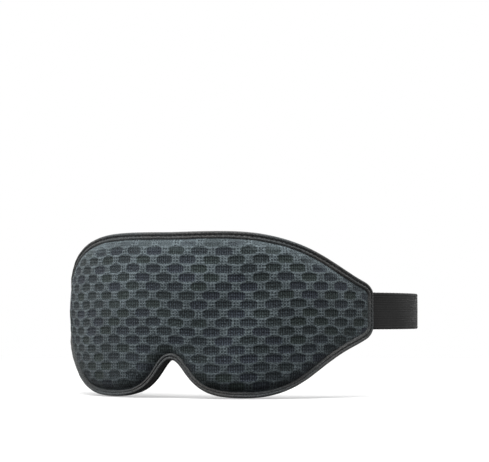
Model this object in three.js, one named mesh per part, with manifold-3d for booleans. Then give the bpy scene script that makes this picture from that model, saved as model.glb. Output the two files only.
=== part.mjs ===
// A contoured sleep eye mask: a wrapped foam shell with a knitted front cover, a moulded cushion
// with two eye cups behind it, a nose flap, a bound edge, and an elastic strap with a ring and slider.
//
// Millimetres, +Z up. The wearer looks along -Y, so the knitted front cover faces -Y and +X is the
// wearer's left. The origin is the centre of the wearer's head: the axis that the mask is wrapped
// about, at the height of the middle of the strap.
//
// The mask's layers are laid out flat in (s, z), where s runs along the wrap from the middle and z is
// the height, and are then wrapped. d is the distance out of the wrap cylinder, towards the front.
import * as THREE from "three";
import { mergeVertices } from "three/addons/utils/BufferGeometryUtils.js";
import Module from "manifold-3d";

// ---- Driving dimensions: the outline ----
const WRAP_RADIUS = 96.5; // the middle of the bound edge
const HALF_LENGTH = 115; // along the wrap, from the nose to either tip
const BROW_HEIGHT = 41.7; // the top edge, above the strap's middle
const CHEEK_DEPTH = 45.8; // the lowest point of each cheek lobe, below the strap's middle
const CHEEK_OUT = 39; // s of that lowest point
const NOTCH_DEPTH = 26; // the top of the nose notch, below the strap's middle
const NOTCH_HALF_WIDTH = 10.5; // the notch, where its sides are steepest
const TIP_MARGIN = 4; // the tip, above and below the strap
const TIP_CORNER = 5.5;

// ---- Driving dimensions: the layers ----
const CLEARANCE = 0.3; // between neighbouring layers
const COVER_THICKNESS = 0.8;
const CORE_RIM = 1.2; // the foam core, pressed flat inside the binding
const CORE_SWELL = 2.6; // what it gains in front, once clear of the binding
const SWELL_RUN = 18;
const LINING_THICKNESS = 0.5;
const BINDING_WIDTH = 4.2;
const BINDING_THICKNESS = 0.8;
const BINDING_FOLD = 1.6; // from the outside of the binding's fold to the layers in it
const THREAD = 0.5;

// ---- Driving dimensions: the cushion, eye cups and nose flap ----
const CUSHION_HEIGHT = 12.5; // from the lining to the crest
const CUSHION_FOOT = 0.9; // the cushion, pressed flat at its outer edge
const CUP_CLEAR = 0.3; // from the foot of the cup's wall to the eye panel
const CUSHION_END = 93; // s of the cushion's outer ends
const CUSHION_FROM_EDGE = 5.4;
const CUSHION_OUTER_RUN = 15; // how far in the outer slope goes
const CUP_WALL_RUN = 8; // how far out from the cup's floor the cup's wall goes
const CUP_OUT = 42.4; // s of the middle of each eye cup
const CUP_DROP = 5; // the middle of each cup, below the strap's middle
const CUP_HALF_LENGTH = 22.6;
const CUP_HALF_HEIGHT = 15.8;
const BRIDGE_RELIEF = 3.5; // the saddle between the cups
const DIMPLE_DEPTH = 4.5;
const DIMPLE_HEIGHT = 24; // the dimple over the brow, above the strap's middle
const DIMPLE_RADIUS = 6.5;
const FLAP_TOP = 16.5; // the flap's sewn edge at the nose, below the strap's middle
const FLAP_END = 60;
const FLAP_THICKNESS = 0.8;
const FLAP_OVERHANG = 0.6; // from the mask's own edge up to the flap's free edge
const FLAP_TO_CUSHION = 0.9;
const SEAM_WIDTH = 1.4;

// ---- Driving dimensions: the strap and its hardware ----
const STRAP_WIDTH = 20;
const WEB = 1; // the webbing's thickness
const SLIP = 0.3; // between webbing and what it runs past
const STRAP_SEWN = 12; // inside the tip
const STRAP_ROOT = 10; // outside the tip, up to where the strap starts to swing
const SIDE_RADIUS = 109;
const SIDE_END_HEADING = 112; // degrees, where the side turns into the corner
const CORNER_RADIUS = 38;
const ELASTIC_LENGTH = 62; // the length of each side, which stretches
const RING_BAR = 3;
const RING_SPAN = 8; // between the middles of the ring's two upright bars
const RING_FROM_CORNER = 16.5; // the ring's outer bar, from the end of the corner
const SEWN_FOLD = 11; // the fold-over that is sewn down at the ring and at the slider
const SLIDER_FROM_RING = 57;
const SLIDER_LENGTH = 18;
const SLIDER_BAR = 1.4;
const SLIDER_BAR_WIDTH = 3;
const RAIL = 2.4;
const TACK_THICKNESS = 0.5;
const TACK_LENGTH = 4;

// ---- Worked out from them ----
const TIP_HALF_HEIGHT = STRAP_WIDTH / 2 + TIP_MARGIN;
const CORE_FRONT = CORE_RIM / 2;
const COVER_BACK = CORE_FRONT + CLEARANCE;
const COVER_FRONT = COVER_BACK + COVER_THICKNESS;
const LINING_FRONT = -CORE_RIM / 2 - CLEARANCE;
const LINING_BACK = LINING_FRONT - LINING_THICKNESS;
const SLOT_FRONT = COVER_FRONT + CLEARANCE;
const SLOT_BACK = LINING_BACK - CLEARANCE;
const BINDING_FRONT = SLOT_FRONT + BINDING_THICKNESS;
const BINDING_BACK = SLOT_BACK - BINDING_THICKNESS;

const { Manifold, Mesh } = await Module().then((wasm) => {
  wasm.setup();
  return wasm;
});

const group = new THREE.Group();
const { lerp, smoothstep } = THREE.MathUtils;

// ---- Materials ----
const material = (name, color, roughness, metalness = 0) =>
  new THREE.MeshStandardMaterial({ name, color, roughness, metalness });

const knit = material("front_knit", 0x3a444a, 0.85);
const foam = material("foam", 0x2b2b2d, 0.95);
const lining = material("lining", 0x303031, 0.9);
const smoothJersey = material("smooth_jersey", 0x3e3e40, 0.85);
const bindingTape = material("binding_tape", 0x353738, 0.9);
const thread = material("thread", 0x1e1f20, 0.8);
const elastic = material("elastic", 0x2c2c2c, 0.9);
const blackPlastic = material("black_plastic", 0x141415, 0.45);

function add(name, geometry, look) {
  const mesh = new THREE.Mesh(geometry, look);
  mesh.name = name;
  group.add(mesh);
}

// ---- Solids ----
function solid(geometry) {
  const bare = new THREE.BufferGeometry();
  bare.setAttribute("position", geometry.getAttribute("position"));
  if (geometry.index) bare.setIndex(geometry.index);
  const merged = mergeVertices(bare, 1e-4);
  return new Manifold(
    new Mesh({
      numProp: 3,
      vertProperties: new Float32Array(merged.attributes.position.array),
      triVerts: new Uint32Array(merged.index.array),
    }),
  );
}

function geometryOf(manifold) {
  const mesh = manifold.getMesh();
  return new THREE.BufferGeometry()
    .setAttribute("position", new THREE.BufferAttribute(mesh.vertProperties, 3))
    .setIndex(new THREE.BufferAttribute(mesh.triVerts, 1));
}

// The main body of a cut solid, without the slivers that a cut can leave.
function mainBody(manifold) {
  const bodies = manifold.decompose().sort((a, b) => b.volume() - a.volume());
  return geometryOf(bodies[0]);
}

function box(fromX, toX, fromY, toY, fromZ, toZ) {
  return new THREE.BoxGeometry(toX - fromX, toY - fromY, toZ - fromZ).translate(
    (fromX + toX) / 2,
    (fromY + toY) / 2,
    (fromZ + toZ) / 2,
  );
}

// ---- Laying out flat, and wrapping ----
function wrap(s, z, d) {
  const angle = s / WRAP_RADIUS;
  const radius = WRAP_RADIUS + d;
  return new THREE.Vector3(radius * Math.sin(angle), -radius * Math.cos(angle), z);
}

// A half outline, from the middle of its top edge round to the middle of its bottom edge. The other
// half is its mirror image.
class Outline {
  constructor(path, samples) {
    this.points = path.getSpacedPoints(samples);
    this.end = Math.max(...this.points.map((p) => p.x));
  }

  distance(s, z) {
    const at = new THREE.Vector2(Math.abs(s), z);
    let least = Infinity;
    for (let i = 1; i < this.points.length; i++) {
      const a = this.points[i - 1];
      const along = this.points[i].clone().sub(a);
      const share = THREE.MathUtils.clamp(
        at.clone().sub(a).dot(along) / along.lengthSq(),
        0,
        1,
      );
      least = Math.min(least, at.distanceTo(along.multiplyScalar(share).add(a)));
    }
    return least;
  }

  // The heights of the outline itself at s: [lowest, highest].
  span(s) {
    const x = Math.min(Math.abs(s), this.end - 1e-6);
    const crossings = [];
    for (let i = 1; i < this.points.length; i++) {
      const a = this.points[i - 1];
      const b = this.points[i];
      if (a.x <= x !== b.x <= x) crossings.push(lerp(a.y, b.y, (x - a.x) / (b.x - a.x)));
    }
    return [Math.min(...crossings), Math.max(...crossings)];
  }

  // The heights at s that lie `inset` inside the outline: [lowest, highest].
  inside(s, inset) {
    const [low, high] = this.span(s);
    const middle = (low + high) / 2;
    return [low, high].map((edge) => {
      let within = middle;
      let beyond = edge;
      for (let i = 0; i < 24; i++) {
        const tried = (within + beyond) / 2;
        if (this.distance(s, tried) >= inset - 1e-4) within = tried;
        else beyond = tried;
      }
      return within;
    });
  }
}

// Columns crowd towards the middle and the ends, where outlines turn most.
const crowded = (u, crowding) => u - (crowding / (2 * Math.PI)) * Math.sin(2 * Math.PI * u);

// Splits the squares of a box's last face along the other diagonal, so that its facets lie over the
// opposite face's and two layers laid out on the same grid nest.
function matchFacets(grid) {
  const { start, count } = grid.groups[5];
  for (let i = start; i < start + count; i += 6) {
    const [a, b, d, , c] = [0, 1, 2, 3, 4].map((k) => grid.index.getX(i + k));
    [a, b, c, a, c, d].forEach((corner, k) => grid.index.setX(i + k, corner));
  }
}

// A closed panel between the heights of span(s), and between back(s, z) and front(s, z) in depth.
function panel({ from, to, span, front, back, columns, rows, crowding = 0.55, rowCrowding = 0 }) {
  const grid = new THREE.BoxGeometry(2, 1, 1, columns, rows, 1);
  matchFacets(grid);
  const place = grid.getAttribute("position");
  const halved = from === -to;
  for (let i = 0; i < place.count; i++) {
    const u = place.getX(i);
    const share = halved ? Math.sign(u) * crowded(Math.abs(u), crowding) : (u + 1) / 2;
    const s = halved ? share * to : lerp(from, to, share);
    const [low, high] = span(s);
    const z = lerp(low, high, crowded(place.getY(i) + 0.5, rowCrowding));
    const d = place.getZ(i) > 0 ? front(s, z) : back(s, z);
    place.setXYZ(i, ...wrap(s, z, d).toArray());
  }
  return grid;
}

// A closed band of one profile, given as [inset, d] pairs, all the way round an outline.
function band(outline, outsideFirst) {
  const profile = [...outsideFirst].reverse();
  const half = outline.points;
  const mirrored = half.slice(1, -1).reverse().map((p) => new THREE.Vector2(-p.x, p.y));
  const loop = [...half, ...mirrored];
  const count = loop.length;
  const ring = new THREE.LatheGeometry(
    [...profile, profile[0]].map(([x, y]) => new THREE.Vector2(x + 100, y)),
    count,
  );
  const place = ring.getAttribute("position");
  const stride = profile.length + 1;
  for (let i = 0; i < place.count; i++) {
    const at = Math.floor(i / stride) % count;
    const [inset, d] = profile[(i % stride) % profile.length];
    const along = loop[(at + 1) % count].clone().sub(loop[(at + count - 1) % count]).normalize();
    const inward = new THREE.Vector2(along.y, -along.x);
    const flat = loop[at].clone().addScaledVector(inward, inset);
    place.setXYZ(i, ...wrap(flat.x, flat.y, d).toArray());
  }
  return ring;
}

// ---- The mask's outline ----
function edgePath() {
  const path = new THREE.Path();
  const tip = TIP_HALF_HEIGHT;
  const shoulder = HALF_LENGTH * 0.43;
  const shoulderHeight = lerp(tip, BROW_HEIGHT, 0.95);
  path.moveTo(0, BROW_HEIGHT);
  path.bezierCurveTo(
    shoulder * 0.45,
    BROW_HEIGHT + 0.33,
    shoulder * 0.74,
    BROW_HEIGHT + 0.85,
    shoulder,
    shoulderHeight,
  );
  path.bezierCurveTo(
    lerp(shoulder, HALF_LENGTH, 0.45),
    lerp(tip, shoulderHeight, 0.8),
    lerp(shoulder, HALF_LENGTH, 0.6),
    lerp(tip, shoulderHeight, 0.35),
    HALF_LENGTH - TIP_CORNER,
    tip + 1.4,
  );
  path.quadraticCurveTo(HALF_LENGTH, tip - 1.6, HALF_LENGTH, tip - TIP_CORNER - 0.6);
  path.lineTo(HALF_LENGTH, TIP_CORNER + 0.6 - tip);
  path.quadraticCurveTo(HALF_LENGTH, 1.6 - tip, HALF_LENGTH - TIP_CORNER, -tip - 1.4);
  const jaw = lerp(CHEEK_OUT, HALF_LENGTH, 0.49);
  const jawHeight = lerp(-tip, -CHEEK_DEPTH, 0.61);
  path.bezierCurveTo(
    lerp(jaw, HALF_LENGTH, 0.54),
    lerp(-tip, jawHeight, 0.36),
    lerp(jaw, HALF_LENGTH, 0.46),
    lerp(-tip, jawHeight, 0.33),
    jaw,
    jawHeight,
  );
  path.bezierCurveTo(
    lerp(CHEEK_OUT, jaw, 0.6),
    lerp(jawHeight, -CHEEK_DEPTH, 0.89),
    lerp(CHEEK_OUT, jaw, 0.28),
    -CHEEK_DEPTH,
    CHEEK_OUT,
    -CHEEK_DEPTH,
  );
  const side = lerp(-NOTCH_DEPTH, -CHEEK_DEPTH, 0.525);
  path.bezierCurveTo(
    lerp(CHEEK_OUT, NOTCH_HALF_WIDTH, 0.5),
    -CHEEK_DEPTH,
    lerp(CHEEK_OUT, NOTCH_HALF_WIDTH, 0.76),
    lerp(side, -CHEEK_DEPTH, 0.79),
    NOTCH_HALF_WIDTH,
    side,
  );
  path.bezierCurveTo(
    NOTCH_HALF_WIDTH * 0.62,
    lerp(side, -NOTCH_DEPTH, 0.42),
    NOTCH_HALF_WIDTH * 0.36,
    -NOTCH_DEPTH,
    0,
    -NOTCH_DEPTH,
  );
  return path;
}
const edge = new Outline(edgePath(), 56);

// ---- The layers of the shell ----
const swell = (s, z) =>
  smoothstep(edge.distance(s, z), BINDING_WIDTH + 0.8, BINDING_WIDTH + 0.8 + SWELL_RUN);
const coverFront = (s, z) => COVER_FRONT + CORE_SWELL * swell(s, z);
const coverBack = (s, z) => coverFront(s, z) - COVER_THICKNESS;
const coreFront = (s, z) => coverBack(s, z) - CLEARANCE;
const coreBack = () => -CORE_RIM / 2;
const liningFront = () => LINING_FRONT;
const liningBack = () => LINING_BACK;

function layer(front, back) {
  const end = HALF_LENGTH - BINDING_FOLD;
  const span = (s) => edge.inside(s, BINDING_FOLD);
  return panel({ from: -end, to: end, span, front, back, columns: 32, rows: 10, rowCrowding: 0.55 });
}

// A block at both tips, from s = `from` outwards, between two heights and two depths.
function tipCutter(from, halfHeight, halfDepth) {
  const block = panel({
    from,
    to: HALF_LENGTH + 2,
    span: () => [-halfHeight, halfHeight],
    front: () => halfDepth,
    back: () => -halfDepth,
    columns: 3,
    rows: 1,
  });
  const one = solid(block);
  return one.add(one.mirror([1, 0, 0]));
}

function addShell() {
  add("front_cover", layer(coverFront, coverBack), knit);
  add("inner_lining", layer(liningFront, liningBack), lining);
  // The core stops short of the strap's sewn ends.
  const strapEnds = tipCutter(HALF_LENGTH - STRAP_SEWN - CLEARANCE, TIP_HALF_HEIGHT + 2, 3);
  const core = solid(layer(coreFront, coreBack));
  add("foam_core", mainBody(core.subtract(strapEnds)), foam);
}

function addBinding() {
  const channel = band(edge, [
    [0, BINDING_BACK],
    [0, BINDING_FRONT],
    [BINDING_WIDTH, BINDING_FRONT],
    [BINDING_WIDTH, SLOT_FRONT],
    [BINDING_THICKNESS, SLOT_FRONT],
    [BINDING_THICKNESS, SLOT_BACK],
    [BINDING_WIDTH, SLOT_BACK],
    [BINDING_WIDTH, BINDING_BACK],
  ]);
  // A slit at each tip lets the strap out.
  const slits = tipCutter(HALF_LENGTH - 2 * BINDING_FOLD, STRAP_WIDTH / 2 + SLIP, WEB / 2 + SLIP);
  add("edge_binding", mainBody(solid(channel).subtract(slits)), bindingTape);

  const threadIn = BINDING_WIDTH / 2;
  const threadOut = THREAD / 2;
  const strand = (base, tip) => [
    [threadIn - threadOut, base],
    [threadIn, tip],
    [threadIn + threadOut, base],
  ];
  const front = BINDING_FRONT + CLEARANCE;
  const back = BINDING_BACK - CLEARANCE;
  add("binding_thread_front", band(edge, strand(front, front + THREAD)), thread);
  add("binding_thread_back", band(edge, strand(back, back - THREAD).reverse()), thread);
}

// ---- The cushion ----
function cushionPath() {
  const top = BROW_HEIGHT - CUSHION_FROM_EDGE;
  const shoulder = edge.inside(CUSHION_END * 0.9, CUSHION_FROM_EDGE)[1];
  const brow = edge.inside(CUSHION_END * 0.64, CUSHION_FROM_EDGE)[1];
  const jaw = edge.inside(CUSHION_END * 0.8, CUSHION_FROM_EDGE)[0];
  const path = new THREE.Path();
  path.moveTo(0, top);
  path.splineThru([
    new THREE.Vector2(CUSHION_END * 0.33, top + 0.2),
    new THREE.Vector2(CUSHION_END * 0.64, brow),
    new THREE.Vector2(CUSHION_END * 0.9, shoulder),
    new THREE.Vector2(CUSHION_END * 0.985, shoulder * 0.45),
    new THREE.Vector2(CUSHION_END, -3),
    new THREE.Vector2(CUSHION_END * 0.94, jaw * 0.55),
    new THREE.Vector2(CUSHION_END * 0.8, jaw),
    new THREE.Vector2(FLAP_END, flapTop(FLAP_END) + FLAP_TO_CUSHION),
  ]);
  const steps = 6;
  for (let i = 1; i <= steps; i++) {
    const s = FLAP_END * (1 - i / steps);
    path.lineTo(s, flapTop(s) + FLAP_TO_CUSHION);
  }
  return path;
}

// The flap's sewn edge: an arch over the nose that runs out along the cheeks.
function flapTop(s) {
  const out = Math.abs(s) / FLAP_END;
  const low = edge.inside(FLAP_END, BINDING_WIDTH + CLEARANCE)[0];
  return lerp(-FLAP_TOP, low, 1 - Math.pow(1 - smoothstep(out, -0.12, 1), 1.9)) + 0.6;
}
const cushion = new Outline(cushionPath(), 56);

// One eye cup's floor: blunt towards the nose, and drawn out towards the temple.
function cupPoints(grow = 0, count = 26) {
  return Array.from({ length: count }, (_, i) => {
    const turn = (i / count) * 2 * Math.PI;
    const out = Math.cos(turn);
    const up = Math.sin(turn);
    const slim = 1 - 0.18 * out - 0.12 * out * out;
    return new THREE.Vector2(
      CUP_OUT + (CUP_HALF_LENGTH + grow) * out,
      (CUP_HALF_HEIGHT + grow) * up * slim - CUP_DROP + 2.5 * out,
    );
  });
}
const cup = new Outline({ getSpacedPoints: () => [...cupPoints(), cupPoints()[0]] });

// Rises from 0 at the edge to 1 once `run` in: a quarter round for a fullness of 0.5, and a parabola
// for a fullness of 1.
const rise = (distance, run, fullness) => {
  const left = 1 - Math.min(distance / run, 1);
  return Math.pow(1 - left * left, fullness);
};

function cushionHeight(s, z) {
  const outer = rise(cushion.distance(s, z), CUSHION_OUTER_RUN, 0.55);
  const inner = rise(cup.distance(s, z), CUP_WALL_RUN, 0.9);
  const saddle = BRIDGE_RELIEF * Math.exp(-((s / 13) ** 2)) * (1 - smoothstep(z, 0, 30));
  const fromDimple = Math.hypot(s, z - DIMPLE_HEIGHT) / DIMPLE_RADIUS;
  const dimple = DIMPLE_DEPTH * Math.exp(-(fromDimple ** 2));
  const crest = CUSHION_HEIGHT - CUSHION_FOOT - saddle - dimple;
  return CUSHION_FOOT + crest * outer * inner;
}

const CUSHION_BASE = LINING_BACK - CLEARANCE - 0.1; // the lining's facets dip by less than 0.1
const cushionBack = (s, z) => CUSHION_BASE - cushionHeight(s, z);

function cupCutter() {
  const plug = new THREE.ExtrudeGeometry(new THREE.Shape(cupPoints(CUP_CLEAR)), {
    depth: 1,
    bevelEnabled: false,
  });
  const place = plug.getAttribute("position");
  for (let i = 0; i < place.count; i++) {
    const d = place.getZ(i) > 0.5 ? LINING_BACK + 1 : LINING_BACK - CUSHION_HEIGHT * 2;
    place.setXYZ(i, ...wrap(place.getX(i), place.getY(i), d).toArray());
  }
  const one = solid(plug);
  return one.add(one.mirror([1, 0, 0]));
}

function addCushion() {
  const inset = 0.2;
  const whole = panel({
    from: inset - cushion.end,
    to: cushion.end - inset,
    span: (s) => cushion.inside(s, inset),
    front: () => CUSHION_BASE,
    back: cushionBack,
    columns: 46,
    rows: 16,
    crowding: 0.3,
  });
  add("face_cushion", mainBody(solid(whole).subtract(cupCutter())), smoothJersey);
}

// ---- The nose flap ----
function addFlap() {
  // Sewn down against the lining, and clear of the binding and its thread further out.
  const overBinding = BINDING_BACK - CLEARANCE - THREAD - CLEARANCE;
  const front = (s, z) => {
    const clear = smoothstep(edge.distance(s, z), BINDING_WIDTH + 0.5, BINDING_WIDTH + 5);
    return lerp(overBinding, LINING_BACK - CLEARANCE, clear);
  };
  const back = (s, z) => front(s, z) - FLAP_THICKNESS;
  const half = (from, to) =>
    panel({
      from,
      to,
      span: (s) => [edge.span(s)[0] + FLAP_OVERHANG, flapTop(s)],
      front,
      back,
      columns: 18,
      rows: 5,
    });
  const gap = CLEARANCE / 2;
  add("nose_flap_left", half(gap, FLAP_END), smoothJersey);
  add("nose_flap_right", half(-FLAP_END, -gap), smoothJersey);
  const seamFront = (s, z) => back(s, z) - CLEARANCE;
  const seam = panel({
    from: -SEAM_WIDTH / 2,
    to: SEAM_WIDTH / 2,
    span: () => [FLAP_OVERHANG + 0.6 - NOTCH_DEPTH, -FLAP_TOP - 0.4],
    front: seamFront,
    back: (s, z) => seamFront(s, z) - THREAD,
    columns: 2,
    rows: 5,
  });
  add("nose_flap_seam", seam, thread);
}

// ---- The strap's run, in plan ----
const radians = THREE.MathUtils.degToRad;
const tipAngle = HALF_LENGTH / WRAP_RADIUS; // also the strap's heading where it leaves the tip
const heading = (angle) => new THREE.Vector2(Math.cos(angle), Math.sin(angle));
const leftOf = (angle) => new THREE.Vector2(-Math.sin(angle), Math.cos(angle));

function arc(centre, radius, fromHeading, toHeading) {
  const quarter = Math.PI / 2;
  const [from, to] = [fromHeading - quarter, toHeading - quarter];
  return new THREE.EllipseCurve(centre.x, centre.y, radius, radius, from, to);
}

const tipPoint = leftOf(tipAngle).multiplyScalar(-WRAP_RADIUS);
const sideCentre = tipPoint.clone().addScaledVector(leftOf(tipAngle), SIDE_RADIUS);
const sideEnd = radians(SIDE_END_HEADING);
const cornerPoint = sideCentre.clone().addScaledVector(leftOf(sideEnd), -SIDE_RADIUS);
const cornerCentre = cornerPoint.clone().addScaledVector(leftOf(sideEnd), CORNER_RADIUS);
const BACK_Y = cornerCentre.y + CORNER_RADIUS; // the middle of the strap's straight back run
const BACK_END = cornerCentre.x;

const sewnAngle = STRAP_SEWN / WRAP_RADIUS;
const run = new THREE.CurvePath();
run.add(arc(new THREE.Vector2(), WRAP_RADIUS, tipAngle - sewnAngle, tipAngle));
run.add(arc(sideCentre, SIDE_RADIUS, tipAngle, sideEnd));
run.add(arc(cornerCentre, CORNER_RADIUS, sideEnd, Math.PI));
const cornerAt = run.getLength();
const rootAt = STRAP_SEWN + STRAP_ROOT;
const elasticAt = rootAt + ELASTIC_LENGTH;

function along(from, to, steps) {
  return Array.from({ length: steps + 1 }, (_, i) =>
    run.getPointAt(Math.min(lerp(from, to, i / steps) / cornerAt, 1)),
  );
}

// Webbing of even thickness along a line in plan, standing on edge.
function webbing(line, thickness = WEB, width = STRAP_WIDTH) {
  const sides = [1, -1].map((side) =>
    line.map((point, i) => {
      const next = line[Math.min(i + 1, line.length - 1)];
      const last = line[Math.max(i - 1, 0)];
      const way = next.clone().sub(last).normalize();
      return new THREE.Vector2(-way.y, way.x)
        .multiplyScalar((side * thickness) / 2)
        .add(point);
    }),
  );
  const shape = new THREE.Shape([...sides[1], ...sides[0].reverse()]);
  const depth = width;
  return new THREE.ExtrudeGeometry(shape, { depth, bevelEnabled: false }).translate(0, 0, -width / 2);
}

const mirrored = (line) => line.map((p) => new THREE.Vector2(-p.x, p.y));

const INNER_Y = BACK_Y - RING_BAR - 2 * SLIP - WEB; // the middle of the inner layer of webbing
const BAR_Y = (BACK_Y + INNER_Y) / 2;

// Half a turn round an upright bar, from the outer layer of webbing to the inner one.
function halfTurn(x, towards, steps = 10) {
  const radius = (BACK_Y - INNER_Y) / 2;
  return Array.from({ length: steps + 1 }, (_, i) => {
    const turn = (i / steps) * Math.PI;
    return new THREE.Vector2(
      x + towards * radius * Math.sin(turn),
      BACK_Y - radius * (1 - Math.cos(turn)),
    );
  });
}

// ---- The strap's hardware ----
const RING_OUTER_X = BACK_END - RING_FROM_CORNER;
const RING_INNER_X = RING_OUTER_X - RING_SPAN;
const SLIDER_X = RING_INNER_X - SLIDER_FROM_RING;
const SLIDER_MIDDLE_Y = INNER_Y + WEB / 2 + SLIP; // the inner face of the slider's middle bar
const LOOP_END_X = SLIDER_X + SEWN_FOLD + 2;

function addRing() {
  const half = (RING_SPAN + RING_BAR) / 2;
  const bevel = RING_BAR * 0.3;
  const tall = STRAP_WIDTH / 2 + SLIP + bevel + RING_BAR;
  const rounded = (target, x, z, r) => {
    target.moveTo(-x + r, -z);
    target.lineTo(x - r, -z);
    target.quadraticCurveTo(x, -z, x, -z + r);
    target.lineTo(x, z - r);
    target.quadraticCurveTo(x, z, x - r, z);
    target.lineTo(-x + r, z);
    target.quadraticCurveTo(-x, z, -x, z - r);
    target.lineTo(-x, -z + r);
    target.quadraticCurveTo(-x, -z, -x + r, -z);
    return target;
  };
  const shape = rounded(new THREE.Shape(), half - bevel, tall - bevel, RING_BAR - bevel);
  const inner = half - RING_BAR + bevel;
  shape.holes.push(rounded(new THREE.Path(), inner, tall - RING_BAR + bevel, bevel));
  const ring = new THREE.ExtrudeGeometry(shape, {
    depth: RING_BAR - 2 * bevel,
    bevelSize: bevel,
    bevelThickness: bevel,
    bevelSegments: 2,
    curveSegments: 3,
  });
  ring.translate(0, 0, bevel - RING_BAR / 2).rotateX(Math.PI / 2);
  ring.translate((RING_OUTER_X + RING_INNER_X) / 2, BAR_Y, 0);
  add("strap_ring", ring, blackPlastic);
}

// The slider's two end bars cross outside the running webbing, and its middle bar, which holds the
// strap's sewn end, crosses inside it.
function addSlider() {
  const half = SLIDER_LENGTH / 2;
  const webEdge = STRAP_WIDTH / 2 + SLIP;
  const outside = BACK_Y + WEB / 2 + SLIP;
  const middle = SLIDER_MIDDLE_Y;
  const rail = (z) =>
    box(SLIDER_X - half, SLIDER_X + half, middle, outside + SLIDER_BAR, z, z + RAIL);
  const bars = [
    rail(webEdge),
    rail(-webEdge - RAIL),
    ...[-half, half - SLIDER_BAR_WIDTH].map((x) =>
      box(
        SLIDER_X + x,
        SLIDER_X + x + SLIDER_BAR_WIDTH,
        outside,
        outside + SLIDER_BAR,
        -webEdge - 0.5,
        webEdge + 0.5,
      ),
    ),
    box(
      SLIDER_X - SLIDER_BAR_WIDTH / 2,
      SLIDER_X + SLIDER_BAR_WIDTH / 2,
      middle,
      middle + SLIDER_BAR,
      -webEdge - 0.5,
      webEdge + 0.5,
    ),
  ].map(solid);
  add("strap_slider", geometryOf(bars.reduce((a, b) => a.add(b))), blackPlastic);
}

// ---- The strap itself ----
function addStrap() {
  const sections = [
    ["root", along(0, rootAt, 10)],
    ["side", along(rootAt + SLIP, elasticAt, 12)],
  ];
  for (const [name, line] of sections) {
    add(`short_strap_${name}`, webbing(line), elastic);
    add(`long_strap_${name}`, webbing(mirrored(line)), elastic);
  }
  const corner = along(elasticAt + SLIP, cornerAt, 12);

  // The short strap ends in a fold round the ring's outer bar.
  const foldEnd = new THREE.Vector2(RING_OUTER_X + SEWN_FOLD, INNER_Y);
  add("short_strap_back", webbing([...corner, ...halfTurn(RING_OUTER_X, -1), foldEnd]), elastic);

  // The long strap runs through the slider, turns round the ring's inner bar and comes back.
  const turn = halfTurn(RING_INNER_X, 1);
  add("long_strap_back", webbing([...mirrored(corner), ...turn]), elastic);
  const comesBack = [RING_INNER_X - SLIP, LOOP_END_X + SLIP];
  add("long_strap_return", webbing(comesBack.map((x) => new THREE.Vector2(x, INNER_Y))), elastic);

  // Its end is sewn back on itself round the slider's middle bar.
  const lap = INNER_Y + WEB + SLIP;
  const over = SLIDER_MIDDLE_Y + SLIDER_BAR + SLIP + WEB / 2;
  const radius = (over - INNER_Y) / 2;
  const barEnd = SLIDER_BAR_WIDTH / 2;
  const steps = 6;
  const bend = Array.from({ length: steps + 1 }, (_, i) => {
    const turn = (i / steps) * Math.PI;
    const x = SLIDER_X - barEnd + 0.2 - radius * Math.sin(turn);
    return [x, INNER_Y + radius * (1 - Math.cos(turn))];
  });
  const endLoop = [
    [LOOP_END_X, INNER_Y],
    ...bend,
    [SLIDER_X + barEnd + 0.8, over],
    [SLIDER_X + barEnd + 3.6, lap],
    [LOOP_END_X - 0.4, lap],
  ].map(([x, y]) => new THREE.Vector2(x, y));
  add("long_strap_end_loop", webbing(endLoop), elastic);
}

function addTacks() {
  const half = STRAP_WIDTH / 2 - 1.5;
  const tack = (x, inner) =>
    box(x - TACK_LENGTH / 2, x + TACK_LENGTH / 2, inner, inner + TACK_THICKNESS, -half, half);
  const underLap = INNER_Y - WEB / 2 - SLIP - TACK_THICKNESS;
  add("slider_bartack", tack(LOOP_END_X - TACK_LENGTH, underLap), thread);
  add("ring_bartack", tack(RING_OUTER_X + SEWN_FOLD - TACK_LENGTH, underLap), thread);
}

addShell();
addBinding();
addCushion();
addFlap();
addRing();
addSlider();
addStrap();
addTacks();

export default group;
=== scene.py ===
# %% [markdown]
# # A contoured sleep mask
#
# A contoured mask has a padded shell that wraps round the face, a moulded cushion behind it with a
# cup for each eye, a flap that closes the gap beside the nose, and an elastic strap with a ring and
# a slider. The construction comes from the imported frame. This lesson gives every piece its cloth,
# its stitching and its fine shape.

# %% Load the frame
import math

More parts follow.
